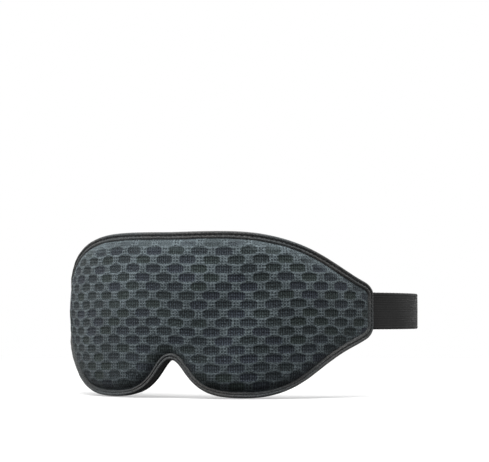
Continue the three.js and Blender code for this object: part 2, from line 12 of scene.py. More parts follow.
import bmesh
import bpy
import numpy as np
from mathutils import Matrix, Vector


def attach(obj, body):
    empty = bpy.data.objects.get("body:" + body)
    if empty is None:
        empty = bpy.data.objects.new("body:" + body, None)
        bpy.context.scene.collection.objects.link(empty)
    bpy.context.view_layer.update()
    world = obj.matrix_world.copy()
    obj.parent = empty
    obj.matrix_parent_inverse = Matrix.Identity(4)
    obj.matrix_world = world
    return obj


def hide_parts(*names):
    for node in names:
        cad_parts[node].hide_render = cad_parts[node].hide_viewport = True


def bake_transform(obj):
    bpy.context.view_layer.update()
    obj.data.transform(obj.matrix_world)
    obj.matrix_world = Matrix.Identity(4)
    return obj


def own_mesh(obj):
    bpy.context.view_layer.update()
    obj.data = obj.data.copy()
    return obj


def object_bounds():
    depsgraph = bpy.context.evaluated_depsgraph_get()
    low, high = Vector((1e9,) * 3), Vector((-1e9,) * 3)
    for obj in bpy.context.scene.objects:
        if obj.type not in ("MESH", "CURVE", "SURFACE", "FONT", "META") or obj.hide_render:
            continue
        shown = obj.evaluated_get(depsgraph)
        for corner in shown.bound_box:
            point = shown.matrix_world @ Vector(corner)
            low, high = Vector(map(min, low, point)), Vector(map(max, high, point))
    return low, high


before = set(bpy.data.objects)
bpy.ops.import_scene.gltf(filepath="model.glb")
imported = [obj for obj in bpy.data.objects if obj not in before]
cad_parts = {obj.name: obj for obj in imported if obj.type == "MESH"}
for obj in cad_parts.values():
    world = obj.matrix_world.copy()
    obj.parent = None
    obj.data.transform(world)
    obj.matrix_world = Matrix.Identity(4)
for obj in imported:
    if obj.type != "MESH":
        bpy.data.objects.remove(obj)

cad_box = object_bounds()
MM = 0.001


def add_object(name, data):
    """Puts new data into the scene as an object."""
    made = bpy.data.objects.new(name, data)
    bpy.context.collection.objects.link(made)
    return made


# %% [markdown]
# ## The camera
#
# The mask is seen from its own height, a little over a metre away and 23 degrees round to the
# viewer's right, through a long lens that keeps the perspective flat. The camera looks slightly
# above the mask, which places it in the lower half of the picture.

# %% Camera
EYE_AZIMUTH = math.radians(23.1)
EYE_DISTANCE = 1.061
EYE_HEIGHT = -3 * MM
AIM_ABOVE = 49.4 * MM
AIM_RIGHT = 0.4 * MM
FOCAL_LENGTH = 135.2

camera_data = bpy.data.cameras.new("camera")
camera_data.lens = FOCAL_LENGTH
camera_data.sensor_width = 36
camera = add_object("camera", camera_data)
outwards = Vector((math.sin(EYE_AZIMUTH), -math.cos(EYE_AZIMUTH), 0))
rightwards = Vector((math.cos(EYE_AZIMUTH), math.sin(EYE_AZIMUTH), 0))
camera.location = outwards * EYE_DISTANCE + Vector((0, 0, EYE_HEIGHT))
aim = rightwards * AIM_RIGHT + Vector((0, 0, EYE_HEIGHT + AIM_ABOVE))
camera.rotation_euler = (aim - camera.location).to_track_quat("-Z", "Y").to_euler()
bpy.context.scene.camera = camera
print("camera at", [round(x, 3) for x in camera.location])

# %% [markdown]
# ## Flat patterns
#
# A sewn mask starts as flat cloth, so its pieces are easiest to describe flat: s runs along the
# wrap from the middle, z is the height, and d is the distance out of the wrap. One function then
# rolls the flat layout round the head. All flat sizes are in millimetres. The outline is a chain of
# curves for one half, mirrored for the other.

# %% The wrap and the outline
WRAP_RADIUS = 96.5
HALF_LENGTH = 115.0
BROW_HEIGHT = 41.7
CHEEK_DEPTH = 45.8
CHEEK_OUT = 39.0
NOTCH_DEPTH = 26.0
NOTCH_HALF_WIDTH = 10.5
STRAP_WIDTH = 20.0
TIP_CORNER = 5.5
TIP = STRAP_WIDTH / 2 + 4


def lerp(a, b, share):
    return a + (b - a) * share


def smoothstep(x, low, high):
    t = np.clip((x - low) / (high - low), 0, 1)
    return t * t * (3 - 2 * t)


def bell(x, middle, width):
    """A smooth bump that is 1 in the middle and fades within about two widths of it."""
    return np.exp(-(((x - middle) / width) ** 2))


def join(*coordinates):
    """Points from their separate coordinates."""
    return np.stack(np.broadcast_arrays(*coordinates), -1)


def wrap(s, z, d):
    """Rolls flat points round the head. Takes millimetres and gives metres."""
    angle = s / WRAP_RADIUS
    radius = WRAP_RADIUS + d
    return join(radius * np.sin(angle), -radius * np.cos(angle), z) * MM


def bezier(*corners, count=60):
    """Points along a curve of any degree, from its corner points."""
    t = np.linspace(0, 1, count)[:, None]
    points = [np.array(corner, float) + 0 * t for corner in corners]
    while len(points) > 1:
        points = [lerp(a, b, t) for a, b in zip(points, points[1:])]
    return points[0]


def lengths(line):
    """The length along a line from its start to each of its points."""
    steps = np.linalg.norm(np.diff(line, axis=0), axis=1)
    return np.concatenate([[0], np.cumsum(steps)])


def at_lengths(line, wanted):
    """The points that lie at some lengths along a line."""
    along = lengths(line)
    return join(*(np.interp(wanted, along, coordinate) for coordinate in line.T))


def evenly(line, count):
    """The same line with evenly spaced points."""
    return at_lengths(line, np.linspace(0, lengths(line)[-1], count))


def unit(vectors):
    return vectors / np.linalg.norm(vectors, axis=-1)[..., None]


def right_of(way):
    """The directions that point to the right of some flat directions."""
    return join(way[:, 1], -way[:, 0])


def chain(*curves):
    """Lines one after another, each starting where the last one ended."""
    joined = [curves[0]] + [curve[1:] for curve in curves[1:]]
    return np.vstack(joined)


def curved_path(start, *curves):
    """Curves one after another. Each is given by its corner points without the one it starts from."""
    parts = []
    for corners in curves:
        parts.append(bezier(start, *corners))
        start = corners[-1]
    return chain(*parts)


def mask_edge():
    """Half of the mask's outline, from the middle of the brow round to the nose notch."""
    shoulder, shoulder_z = HALF_LENGTH * 0.43, lerp(TIP, BROW_HEIGHT, 0.95)
    jaw, jaw_z = lerp(CHEEK_OUT, HALF_LENGTH, 0.49), lerp(-TIP, -CHEEK_DEPTH, 0.61)
    side = lerp(-NOTCH_DEPTH, -CHEEK_DEPTH, 0.525)
    corner, side_end = HALF_LENGTH - TIP_CORNER, TIP - TIP_CORNER - 0.6
    return curved_path(
        (0, BROW_HEIGHT),
        [
            (shoulder * 0.45, BROW_HEIGHT + 0.33),
            (shoulder * 0.74, BROW_HEIGHT + 0.85),
            (shoulder, shoulder_z),
        ],
        [
            (lerp(shoulder, HALF_LENGTH, 0.45), lerp(TIP, shoulder_z, 0.8)),
            (lerp(shoulder, HALF_LENGTH, 0.6), lerp(TIP, shoulder_z, 0.35)),
            (corner, TIP + 1.4),
        ],
        [(HALF_LENGTH, TIP - 1.6), (HALF_LENGTH, side_end)],
        [(HALF_LENGTH, -side_end)],
        [(HALF_LENGTH, 1.6 - TIP), (corner, -TIP - 1.4)],
        [
            (lerp(jaw, HALF_LENGTH, 0.54), lerp(-TIP, jaw_z, 0.36)),
            (lerp(jaw, HALF_LENGTH, 0.46), lerp(-TIP, jaw_z, 0.33)),
            (jaw, jaw_z),
        ],
        [
            (lerp(CHEEK_OUT, jaw, 0.6), lerp(jaw_z, -CHEEK_DEPTH, 0.89)),
            (lerp(CHEEK_OUT, jaw, 0.28), -CHEEK_DEPTH),
            (CHEEK_OUT, -CHEEK_DEPTH),
        ],
        [
            (lerp(CHEEK_OUT, NOTCH_HALF_WIDTH, 0.5), -CHEEK_DEPTH),
            (lerp(CHEEK_OUT, NOTCH_HALF_WIDTH, 0.76), lerp(side, -CHEEK_DEPTH, 0.79)),
            (NOTCH_HALF_WIDTH, side),
        ],
        [
            (NOTCH_HALF_WIDTH * 0.62, lerp(side, -NOTCH_DEPTH, 0.42)),
            (NOTCH_HALF_WIDTH * 0.36, -NOTCH_DEPTH),
            (0, -NOTCH_DEPTH),
        ],
    )


def distance_to(line, s, z):
    """How far each point lies from a line on the right half, or from its mirror image on the left."""
    points = join(np.abs(s), z).reshape(-1, 2)
    start, step = line[:-1], np.diff(line, axis=0)
    length = (step**2).sum(1)
    found = []
    # A few thousand points at a time keep the arrays small.
    for some in np.array_split(points, len(points) // 4000 + 1):
        offset = some[:, None] - start
        share = np.clip((offset * step).sum(2) / length, 0, 1)
        gap = offset - share[..., None] * step
        found.append(np.sqrt((gap**2).sum(2).min(1)))
    return np.concatenate(found).reshape(np.broadcast(s, z).shape)


class Outline:
    """A half outline and its mirror image, with the questions that the pieces ask of it."""

    def __init__(self, half):
        self.half = evenly(half, 180)
        self.turn = int(np.argmax(self.half[:, 0]))
        self.end = self.half[self.turn, 0]
        self.loop = np.vstack([self.half, self.half[-2:0:-1] * [-1, 1]])

    def distance(self, s, z):
        return distance_to(self.half, s, z)

    def span(self, s):
        """The outline's lowest and highest z at each s."""
        x = np.abs(s)
        above, below = self.half[: self.turn + 1], self.half[self.turn :][::-1]
        return np.interp(x, below[:, 0], below[:, 1]), np.interp(x, above[:, 0], above[:, 1])

    def inside(self, s, inset):
        """The lowest and highest z at each s that lie `inset` inside the outline."""
        low, high = self.span(s)
        middle = (low + high) / 2
        ends = []
        for limit in (low, high):
            within, beyond = middle.copy(), limit.copy()
            for _ in range(14):
                tried = (within + beyond) / 2
                good = self.distance(s, tried) >= inset
                within, beyond = np.where(good, tried, within), np.where(good, beyond, tried)
            ends.append(within)
        return ends


edge = Outline(mask_edge())
print("edge length, mm:", round(lengths(edge.loop)[-1]))

# %% [markdown]
# ## Meshes from grids
#
# Every cloth layer here is a grid of points with a front and a back surface. `cloth` joins the two
# round their open edges, so that each piece is a closed body, and stores the flat position of each
# point as a UV map called "flat". Weave patterns read that map, so they follow the cloth wherever it
# bends. `sweep` does the same for anything with one cross-section along a line.

# %% Grid helpers
def finish_mesh(name, points, faces, flat=None, attributes=None):
    """Makes an object from points in metres, and drops the points that no face uses."""
    faces = np.asarray(faces)
    used = np.zeros(len(points), bool)
    used[faces.ravel()] = True
    renumber = np.cumsum(used) - 1
    mesh = bpy.data.meshes.new(name)
    mesh.from_pydata(points[used].tolist(), [], renumber[faces].tolist())
    if flat is not None:
        layer = mesh.uv_layers.new(name="flat")
        corner = np.empty(len(mesh.loops), np.int32)
        mesh.loops.foreach_get("vertex_index", corner)
        layer.data.foreach_set("uv", flat[used][corner].astype(np.float32).ravel())
    for key, values in (attributes or {}).items():
        attribute = mesh.attributes.new(key, "FLOAT", "POINT")
        attribute.data.foreach_set("value", np.asarray(values, np.float32).ravel()[used])
    mesh.polygons.foreach_set("use_smooth", [True] * len(mesh.polygons))
    print(name, len(mesh.polygons), "faces")
    return add_object(name, mesh)


def seal(mesh, crisp_ends=False):
    """Fills the open ends of a skin and turns all of its faces outwards."""
    shape = bmesh.new()
    shape.from_mesh(mesh)
    ends = [e for e in shape.edges if e.is_boundary]
    bmesh.ops.holes_fill(shape, edges=ends, sides=0)
    for e in ends:
        e.smooth = not crisp_ends
    bmesh.ops.recalc_face_normals(shape, faces=shape.faces)
    shape.to_mesh(mesh)
    shape.free()


def object_from(name, shape):
    """Makes an object from a finished bmesh."""
    mesh = bpy.data.meshes.new(name)
    shape.to_mesh(mesh)
    shape.free()
    return add_object(name, mesh)


def grid_faces(rows, columns, keep=None):
    """The corner numbers of each square of a grid, and of the outer edges of the kept squares."""
    number = np.arange(rows * columns).reshape(rows, columns)
    squares = np.stack([number[:-1, :-1], number[:-1, 1:], number[1:, 1:], number[1:, :-1]], -1)
    squares = squares.reshape(-1, 4)
    if keep is not None:
        squares = squares[keep.ravel()]
    sides = np.vstack([squares[:, [k, (k + 1) % 4]] for k in range(4)])
    size = rows * columns
    there = sides[:, 0].astype(np.int64) * size + sides[:, 1]
    back = sides[:, 1].astype(np.int64) * size + sides[:, 0]
    return squares, sides[~np.isin(there, back)]


def cloth(name, s, z, front, back, keep=None, attributes=None):
    """A closed layer of cloth over a flat grid, between two depths."""
    squares, rim = grid_faces(*s.shape, keep)
    count = s.size
    points = np.vstack([wrap(s, z, d).reshape(-1, 3) for d in (front, back)])
    walls = np.stack([rim[:, 1], rim[:, 0], rim[:, 0] + count, rim[:, 1] + count], -1)
    faces = np.vstack([squares, squares[:, ::-1] + count, walls])
    flat = np.tile(join(s.ravel(), z.ravel()), (2, 1))
    doubled = {key: np.tile(np.ravel(value), 2) for key, value in (attributes or {}).items()}
    return finish_mesh(name, points, faces, flat, doubled)


def spread(count, gather):
    """Numbers from 0 to 1, even or gathered towards both ends."""
    share = np.linspace(0, 1, count)
    return lerp(share, (1 - np.cos(math.pi * share)) / 2, gather)


def flat_grid(outline, inset, step, end=None, gather=0.0):
    """A grid of s and z over everything that lies `inset` inside an outline."""
    # A hair short of the full reach, so that the outermost columns lie inside too.
    reach = (end or outline.end) - inset - 0.02
    columns = int(2 * reach / step) + 1
    s = reach * (2 * spread(columns, gather) - 1)
    low, high = outline.inside(s, inset)
    rows = int((high - low).max() / step) + 1
    return np.broadcast_to(s, (rows, columns)).copy(), lerp(low, high, spread(rows, gather)[:, None])


def sweep(name, rings, flat, closed=True):
    """A skin over rings of points. Each ring is closed, and the row of rings may be closed too."""
    count, around = rings.shape[:2]
    i, j = np.meshgrid(np.arange(count if closed else count - 1), np.arange(around), indexing="ij")
    next_i, next_j = (i + 1) % count, (j + 1) % around
    corners = [i * around + j, next_i * around + j, next_i * around + next_j, i * around + next_j]
    faces = np.stack(corners, -1).reshape(-1, 4)
    made = finish_mesh(name, rings.reshape(-1, 3), faces, flat.reshape(-1, 2))
    if closed:
        # The last faces run back to the first ring: their flat lengths must carry on, not jump back.
        layer = made.data.uv_layers["flat"].data
        whole_turn = 2 * flat[-1, 0] - flat[-2, 0] - flat[0, 0]
        for face in made.data.polygons[-around:]:
            for corner in face.loop_indices:
                if made.data.loops[corner].vertex_index < around:
                    layer[corner].uv += Vector(whole_turn)
    seal(made.data, crisp_ends=True)
    return made


rng = np.random.default_rng(7)


def ripple(along, *waves):
    """A smooth wandering value: a sum of sine waves given as (wavelength, height)."""
    return sum(h * np.sin(2 * np.pi * (along / w + rng.random())) for w, h in waves)


# %% [markdown]
# ## Node materials
#
# Cloth needs several small patterns multiplied together, which makes long node trees. Two helper
# classes keep the recipes readable: `Nodes` adds nodes to any tree, and `Recipe` has the patterns
# that cloth is made of. Apart from the last steps, colour and bump, each method returns an output
# that the next one can take.

# %% Material helper
class Nodes:
    """Short ways of adding nodes to a tree."""

    def __init__(self, tree):
        self.tree = tree

    def add(self, kind, inputs=None, **settings):
        node = self.tree.nodes.new(kind)
        for key, value in settings.items():
            setattr(node, key, value)
        for key, value in (inputs or {}).items():
            self.plug(node.inputs[key], value)
        return node

    def plug(self, socket, value):
        if isinstance(value, bpy.types.NodeSocket):
            self.tree.links.new(value, socket)
        else:
            socket.default_value = value

    def math(self, operation, *values):
        return self.add("ShaderNodeMath", dict(enumerate(values)), operation=operation).outputs[0]

    def times(self, a, b):
        return self.math("MULTIPLY", a, b)

    def plus(self, a, b):
        return self.math("ADD", a, b)

    def weigh(self, *parts):
        """The sum of some values, given as pairs of a value and its weight."""
        total, *others = [self.times(value, weight) for value, weight in parts]
        for part in others:
            total = self.plus(total, part)
        return total

    def remap(self, value, low, high, to_low=0.0, to_high=1.0, smooth=False):
        kind = "SMOOTHSTEP" if smooth else "LINEAR"
        names = ("Value", "From Min", "From Max", "To Min", "To Max")
        inputs = dict(zip(names, (value, low, high, to_low, to_high)))
        return self.add("ShaderNodeMapRange", inputs, interpolation_type=kind).outputs[0]

    def mix(self, share, a, b):
        """Blends from `a` to `b`. A mix node's colours are its inputs 6 and 7, and its output 2."""
        node = self.add("ShaderNodeMix", {0: share}, data_type="RGBA")
        for socket, color in ((6, a), (7, b)):
            self.plug(node.inputs[socket], (*color, 1) if isinstance(color, tuple) else color)
        return node.outputs[2]

    def solid(self):
        """The place inside the object, in metres."""
        return self.add("ShaderNodeTexCoord").outputs["Object"]


class Recipe(Nodes):
    """A Principled material and its patterns."""

    def __init__(self, name, roughness=0.9, sheen=0.0, specular=0.3):
        self.material = bpy.data.materials.new(name)
        self.material.use_nodes = True
        super().__init__(self.material.node_tree)
        self.shader = self.tree.nodes["Principled BSDF"]
        surface = {"Roughness": roughness, "Specular IOR Level": specular, "Sheen Weight": sheen}
        for key, value in {**surface, "Sheen Roughness": 0.5}.items():
            self.plug(self.shader.inputs[key], value)

    def uv(self):
        return self.add("ShaderNodeUVMap", uv_map="flat").outputs[0]

    def flat(self):
        """The two flat coordinates in millimetres."""
        return self.add("ShaderNodeSeparateXYZ", {0: self.uv()}).outputs[:2]

    def attribute(self, name):
        return self.add("ShaderNodeAttribute", attribute_name=name).outputs["Fac"]

    def noise(self, size, detail=2.0, solid=False):
        """Noise whose blobs are about `size` millimetres wide, over the cloth or through the solid."""
        where, scale = (self.solid(), 1 / (size * MM)) if solid else (self.uv(), 1 / size)
        inputs = {"Vector": where, "Scale": scale, "Detail": detail}
        return self.add("ShaderNodeTexNoise", inputs).outputs["Fac"]

    def wave(self, coordinate, pitch, phase=0.0):
        """From 0 to 1 and back once every `pitch` millimetres."""
        turn = self.math("MULTIPLY_ADD", coordinate, 2 * math.pi / pitch, phase)
        return self.remap(self.math("SINE", turn), -1, 1)

    def colour(self, value):
        self.plug(self.shader.inputs["Base Color"], value)

    def bump(self, *heights):
        """Adds bumps one after another, each a pair of a height from 0 to 1 and its size in mm."""
        inputs = {}
        for height, size in heights:
            inputs.update(Height=height, Distance=size * MM)
            inputs["Normal"] = self.add("ShaderNodeBump", inputs).outputs[0]
        self.plug(self.shader.inputs["Normal"], inputs["Normal"])
        return self.material


def srgb(red, green, blue):
    """A colour as shown on a screen, from 0 to 255, in the linear values that shaders use."""

    def linear(v):
        v = v / 255
        return v / 12.92 if v <= 0.04045 else ((v + 0.055) / 1.055) ** 2.4

    return linear(red), linear(green), linear(blue)


def dress(piece, material, body, slot, *nodes):
    """Gives a piece its material, its body and the nodes it stands for. Its slot is not used."""
    piece.data.materials.clear()
    piece.data.materials.append(material)
    if body:
        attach(piece, body)
    if nodes:
        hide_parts(*nodes)
    return piece


# %% [markdown]
# ## The depths of the layers
#
# The shell is a sandwich, sewn flat round its edge and swollen in the middle. These depths say where
# each layer lies inside the binding: the knitted cover in front, foam behind it, and a lining at the
# back. A gap of 0.3 mm keeps neighbours apart.

# %% Layer depths
GAP = 0.3
COVER = 0.8
CORE_RIM = 1.2
LINING = 0.5
TAPE = 0.8
TAPE_WIDTH = 4.2
SWELL = 4.2
ROLL = 1.7
COVER_FRONT = CORE_RIM / 2 + GAP + COVER
LINING_FRONT = -CORE_RIM / 2 - GAP
LINING_BACK = LINING_FRONT - LINING
TAPE_FRONT = COVER_FRONT + GAP + TAPE
TAPE_BACK = LINING_BACK - GAP - TAPE
THREAD = 0.34
print("bound edge, front to back, mm:", round(TAPE_FRONT - TAPE_BACK, 2))


def swell(s, z):
    """The foam's rise: a quick roll, then a long dome. Fuller low down and slimmer at the tips."""
    inward = np.clip(edge.distance(s, z) - TAPE_WIDTH + 0.8, 0, None)
    roll = 1 - (1 - np.clip(inward / 6, 0, 1)) ** 2.6
    dome = 1 - (1 - np.clip(inward / 26, 0, 1)) ** 2
    fuller = ROLL * (1 + 0.7 * smoothstep(-z, 18, 40))
    slimmer = 1 - 0.6 * smoothstep(np.abs(s), 68, 108)
    return (fuller * roll + (SWELL - ROLL) * dome) * slimmer


# %% [markdown]
# ## The knitted front
#
# The cover is a double jacquard knit. Dark pockets in a brick layout lie a little lower than the
# pale net of yarn between them. At this scale the pockets are big enough to be real relief, so the
# grid is fine, a little over half a millimetre, and the pattern moves its points. The same pattern
# value is stored on the mesh, and the material uses it to tell pocket from net. The net's tone is
# graded with height as painted shade and painted light: darker low down, paler towards the brow.

# %% Knit pattern
POCKET_PITCH = 12.43
ROW_PITCH = 4.73
POCKET_HALF = 4.25
POCKET_HALF_HEIGHT = 2.22
FIRST_POCKET = -64.3
FIRST_ROW = 8.0
RELIEF = 0.4
FINE_STEP = 0.62
UNDER_TAPE = 1.8


def knit(s, z):
    """Distance from the nearest pocket (1 at its edge), the same along s, a tint, and the bent z."""
    bent = z + 0.4 * np.sin(s / 15) + 0.2 * np.sin(s / 6.1 + z / 9)
    row = np.round((bent - FIRST_ROW) / ROW_PITCH)
    shift = 0.5 * (row % 2)
    place = (s - FIRST_POCKET) / POCKET_PITCH - shift
    column = np.round(place)
    # A number from 0 to 1 that is different for every pocket, but always the same for one pocket.
    chance = np.modf(np.abs(np.sin(row * 127.1 + column * 311.7) * 4375.85453))[0]
    across = np.abs(place - column) * POCKET_PITCH / (POCKET_HALF * (0.96 + 0.09 * chance))
    up = np.abs(bent - FIRST_ROW - row * ROW_PITCH) / POCKET_HALF_HEIGHT
    domed = up / np.maximum(1 - 0.16 * across**2, 0.45)
    field = (domed**6 + across**6) ** (1 / 6)
    return field, across, chance, bent


def make_front():
    s, z = flat_grid(edge, UNDER_TAPE, FINE_STEP)
    field, across, chance, bent = knit(s, z)
    inward = edge.distance(s, z)
    puckers = ripple(np.arctan2(z, s) * 90, (7.3, 0.5), (4.1, 0.3)) * bell(inward, 5, 4)
    soft = 0.22 * np.sin(s / 14 + 1) * np.sin(z / 11) + 0.12 * np.sin(s / 7.7 - z / 8)
    clear = smoothstep(inward, TAPE_WIDTH + 0.3, TAPE_WIDTH + 4)
    pocket = 1 - smoothstep(field, 0.75, 1.1)
    front = COVER_FRONT + swell(s, z) + clear * (soft - RELIEF * pocket) + 0.3 * puckers * clear
    back = COVER_FRONT - COVER + swell(s, z)
    back = np.minimum(back, front - 0.4)
    # Near the top edge the pockets fade into the pale net. This is partly where the cloth rolls into
    # the binding and partly painted light from above.
    margin = 1 - smoothstep(inward, TAPE_WIDTH + 0.6, TAPE_WIDTH + 3.5 + 3.5 * smoothstep(z, 18, 34))
    pocket_fade_roll_and_painted_light = 1 - 0.6 * margin * smoothstep(z, -8, 22)
    stored = {"field": field, "across": across, "chance": chance, "pocket_fade_roll_and_painted_light": pocket_fade_roll_and_painted_light, "bent": bent}
    return cloth("knit_front", s, z, front, back, attributes=stored)


# %% Knit material
def knit_material():
    look = Recipe("brick_knit", roughness=0.88, sheen=0.12, specular=0.22)
    s, z = look.flat()
    field = look.math("SUBTRACT", look.attribute("field"), 0.18)
    ragged = look.math("MULTIPLY_ADD", look.noise(1.3, 2), 0.36, field)
    pocket = look.remap(ragged, 0.93, 1.05, 1, 0, smooth=True)
    # The pockets fade near the top edge: partly the roll into the binding, partly painted light.
    pocket = look.times(pocket, look.attribute("pocket_fade_roll_and_painted_light"))
    beside = look.remap(look.attribute("across"), 0.94, 1.04, smooth=True)

    column, rung = POCKET_PITCH / 8, ROW_PITCH / 3
    bars = look.wave(s, column, math.pi / 2 - 2 * math.pi * FIRST_POCKET / column)
    rungs = look.wave(look.attribute("bent"), rung, math.pi / 2 - 2 * math.pi * FIRST_ROW / rung)
    specks = look.remap(look.noise(0.85, 3), 0.36, 0.62)
    blots = look.remap(look.noise(2.6, 2), 0.36, 0.62)
    checks = look.math("MAXIMUM", look.remap(bars, 0.4, 0.9), look.remap(rungs, 0.55, 0.95))
    spotty = look.times(look.remap(specks, 0, 1, 0.3, 1.2), look.remap(blots, 0, 1, 0.55, 1.15))
    ladder = look.times(look.remap(checks, 0, 1, 0.3, 1), spotty)
    thick = look.times(look.remap(specks, 0, 1, 0.4, 0.95), look.remap(blots, 0, 1, 0.65, 1))
    # Painted shade and painted light: the net is darkened towards the bottom and lightened towards the
    # brow, as light from above would do.
    net_tone_painted_shade_and_light = look.times(look.mix(beside, thick, ladder), look.remap(z, -38, -10, 0.62, 1))
    net_tone_painted_shade_and_light = look.times(net_tone_painted_shade_and_light, look.remap(z, 4, 32, 1, 1.35))
    net = look.mix(net_tone_painted_shade_and_light, srgb(42, 49, 52), srgb(118, 130, 135))

    ribs = look.times(look.wave(s, 1.17), look.remap(look.noise(1.0, 2), 0.35, 0.65, 0.1, 1))
    bluish = look.attribute("chance")
    dark = look.mix(bluish, srgb(36, 44, 43), srgb(37, 42, 49))
    lit = look.mix(bluish, srgb(83, 96, 94), srgb(85, 93, 105))
    inside = look.mix(ribs, dark, lit)

    patch = look.remap(look.noise(26, 1), 0.35, 0.65, 0.86, 1.12)
    woven = look.mix(pocket, net, inside)
    even = look.add("ShaderNodeVectorMath", {0: woven, 1: patch}, operation="MULTIPLY")
    look.colour(even.outputs[0])
    yarn = look.times(look.wave(s, 0.6), look.wave(z, 0.6))
    return look.bump((checks, 0.2), (specks, 0.12), (yarn, 0.06))


front = dress(make_front(), knit_material(), "mask", "front_knit", "front_cover")

# %% [markdown]
# ## Foam core and lining
#
# The foam can't be seen, but it is a piece of the mask. It gets
# the same swollen shape as the cover, a little inside it. The lining is a plain dark tricot. It shows
# at the temples and at the bottom of each eye cup, so it gets a slight quilted softness.

# %% Core and lining
CORE_END = HALF_LENGTH - 12.3
CORE_INSET = 1.9
CELL_SIZE = 0.6


def foam_material():
    look = Recipe("open_foam", roughness=0.97, specular=0.2)
    inputs = {"Vector": look.solid(), "Scale": 1 / (CELL_SIZE * MM)}
    cells = look.add("ShaderNodeTexVoronoi", inputs)
    pores = look.remap(cells.outputs["Distance"], 0.1, 0.6)
    look.colour(look.mix(pores, srgb(20, 20, 21), srgb(52, 52, 54)))
    return look.bump((pores, 0.2))


def make_core():
    s, z = flat_grid(edge, CORE_INSET, 1.6, end=CORE_END + CORE_INSET)
    front = COVER_FRONT - COVER - GAP + swell(s, z) - 0.55
    front = np.maximum(front, CORE_RIM / 2 - 0.3)
    return cloth("core_pad", s, z, front, 0 * s - CORE_RIM / 2)


def tricot_material():
    look = Recipe("tricot", roughness=0.92, sheen=0.12, specular=0.2)
    s, z = look.flat()
    lean = look.plus(s, look.times(z, 0.5))
    lines = look.times(look.wave(lean, 0.62), look.wave(z, 0.9))
    wear = look.remap(look.noise(14, 2), 0.3, 0.7, 0.15, 0.4)
    light = look.plus(look.times(lines, 0.5), wear)
    look.colour(look.mix(light, srgb(50, 50, 51), srgb(90, 90, 91)))
    return look.bump((lines, 0.1), (look.noise(0.35, 2), 0.06))


def make_lining():
    s, z = flat_grid(edge, UNDER_TAPE, 1.0)
    inward = edge.distance(s, z)
    soft = 0.2 * np.sin(s / 5.3) * np.sin(z / 6.1 + s / 11) * smoothstep(inward, 5, 9)
    back = LINING_BACK - 0.15 * smoothstep(inward, 5, 9) + soft * 0.5
    return cloth("lining_cloth", s, z, 0 * s + LINING_FRONT, np.minimum(back, LINING_FRONT - 0.3))


core = dress(make_core(), foam_material(), "mask", "foam", "foam_core")
lining = dress(make_lining(), tricot_material(), "mask", "lining", "inner_lining")

# %% [markdown]
# ## The moulded cushion
#
# Foam with jersey bonded to it is pressed hot into this shape: a figure of eight with a cup for each
# eye, a saddle over the nose and a dimple above it, arched at its top and fading downwards. It has
# no loose cloth to simulate, so its height is a formula: it rises roundly from the outer edge, falls
# into the cups, and is relieved over the nose. The cups are true holes down to the lining.

# %% Cushion shape
CUSHION_HEIGHT = 12.5
CUSHION_FOOT = 0.9
CUSHION_END = 93.0
CUSHION_FROM_EDGE = 5.4
CUSHION_OUTER_RUN = 15.0
CUP_WALL_RUN = 8.0
CUP_OUT = 42.4
CUP_DROP = 5.0
CUP_HALF_LENGTH = 22.6
CUP_HALF_HEIGHT = 15.8
CUP_TILT = 2.5
CUP_CLEAR = 0.3
BRIDGE_RELIEF = 3.5
DIMPLE_DEPTH = 6.5
DIMPLE_TOP = 30.5
DIMPLE_HALF_WIDTH = 6.6
FLAP_TOP = 16.5
FLAP_END = 60.0
FLAP_TO_CUSHION = 0.9
CUSHION_BASE = LINING_BACK - GAP - 0.1


def flap_top(s):
    """The flap's sewn edge: an arch over the nose that runs out along the cheeks."""
    out = np.abs(s) / FLAP_END
    low = edge.inside(np.array([FLAP_END]), TAPE_WIDTH + GAP)[0][0]
    return lerp(-FLAP_TOP, low, 1 - (1 - smoothstep(out, -0.12, 1)) ** 1.9) + 0.6


def through(points):
    """A smooth line through points."""
    points = np.array(points, float)
    padded = np.vstack([points[:1], points, points[-1:]])
    t = np.linspace(0, 1, 24)[:, None]
    spans = []
    for a, b, c, d in zip(padded, padded[1:], padded[2:], padded[3:]):
        v0, v1 = (c - a) / 2, (d - b) / 2
        cubic, square = 2 * b - 2 * c + v0 + v1, -3 * b + 3 * c - 2 * v0 - v1
        spans.append(cubic * t**3 + square * t**2 + v0 * t + b)
    return chain(*spans)


def cushion_edge():
    top = BROW_HEIGHT - CUSHION_FROM_EDGE
    places = np.array([0.9, 0.64, 0.8]) * CUSHION_END
    low, high = edge.inside(places, CUSHION_FROM_EDGE)
    upper = [
        (0, top),
        (CUSHION_END * 0.33, top + 0.2),
        (CUSHION_END * 0.64, high[1]),
        (CUSHION_END * 0.9, high[0]),
        (CUSHION_END * 0.985, high[0] * 0.45),
        (CUSHION_END, -3),
        (CUSHION_END * 0.94, low[2] * 0.55),
        (CUSHION_END * 0.8, low[2]),
        (FLAP_END, flap_top(FLAP_END) + FLAP_TO_CUSHION),
    ]
    back = np.linspace(FLAP_END, 0, 40)
    return chain(through(upper), join(back, flap_top(back) + FLAP_TO_CUSHION))


def cup_slim(out):
    """A cup's height as a share, from -1 at its end near the nose to 1 at its outer end."""
    return 1 - 0.18 * out - 0.12 * out * out


def cup_loop(grow=0.0, count=220):
    turn = np.linspace(0, 2 * math.pi, count)
    out, up = np.cos(turn), np.sin(turn)
    z = (CUP_HALF_HEIGHT + grow) * up * cup_slim(out) - CUP_DROP + CUP_TILT * out
    return join(CUP_OUT + (CUP_HALF_LENGTH + grow) * out, z)


def in_cup(s, z, grow):
    out = (np.abs(s) - CUP_OUT) / (CUP_HALF_LENGTH + grow)
    half = (CUP_HALF_HEIGHT + grow) * np.sqrt(np.clip(1 - out * out, 0, 1)) * cup_slim(out)
    return (np.abs(out) < 1) & (np.abs(z + CUP_DROP - CUP_TILT * out) < half)


cushion_outline = Outline(cushion_edge())
cup_line = cup_loop()


def rise(distance, run, fullness):
    """A rounded climb from 0 to 1 over a run. A lower fullness climbs more steeply at the start."""
    left = 1 - np.minimum(distance / run, 1)
    return (1 - left * left) ** fullness


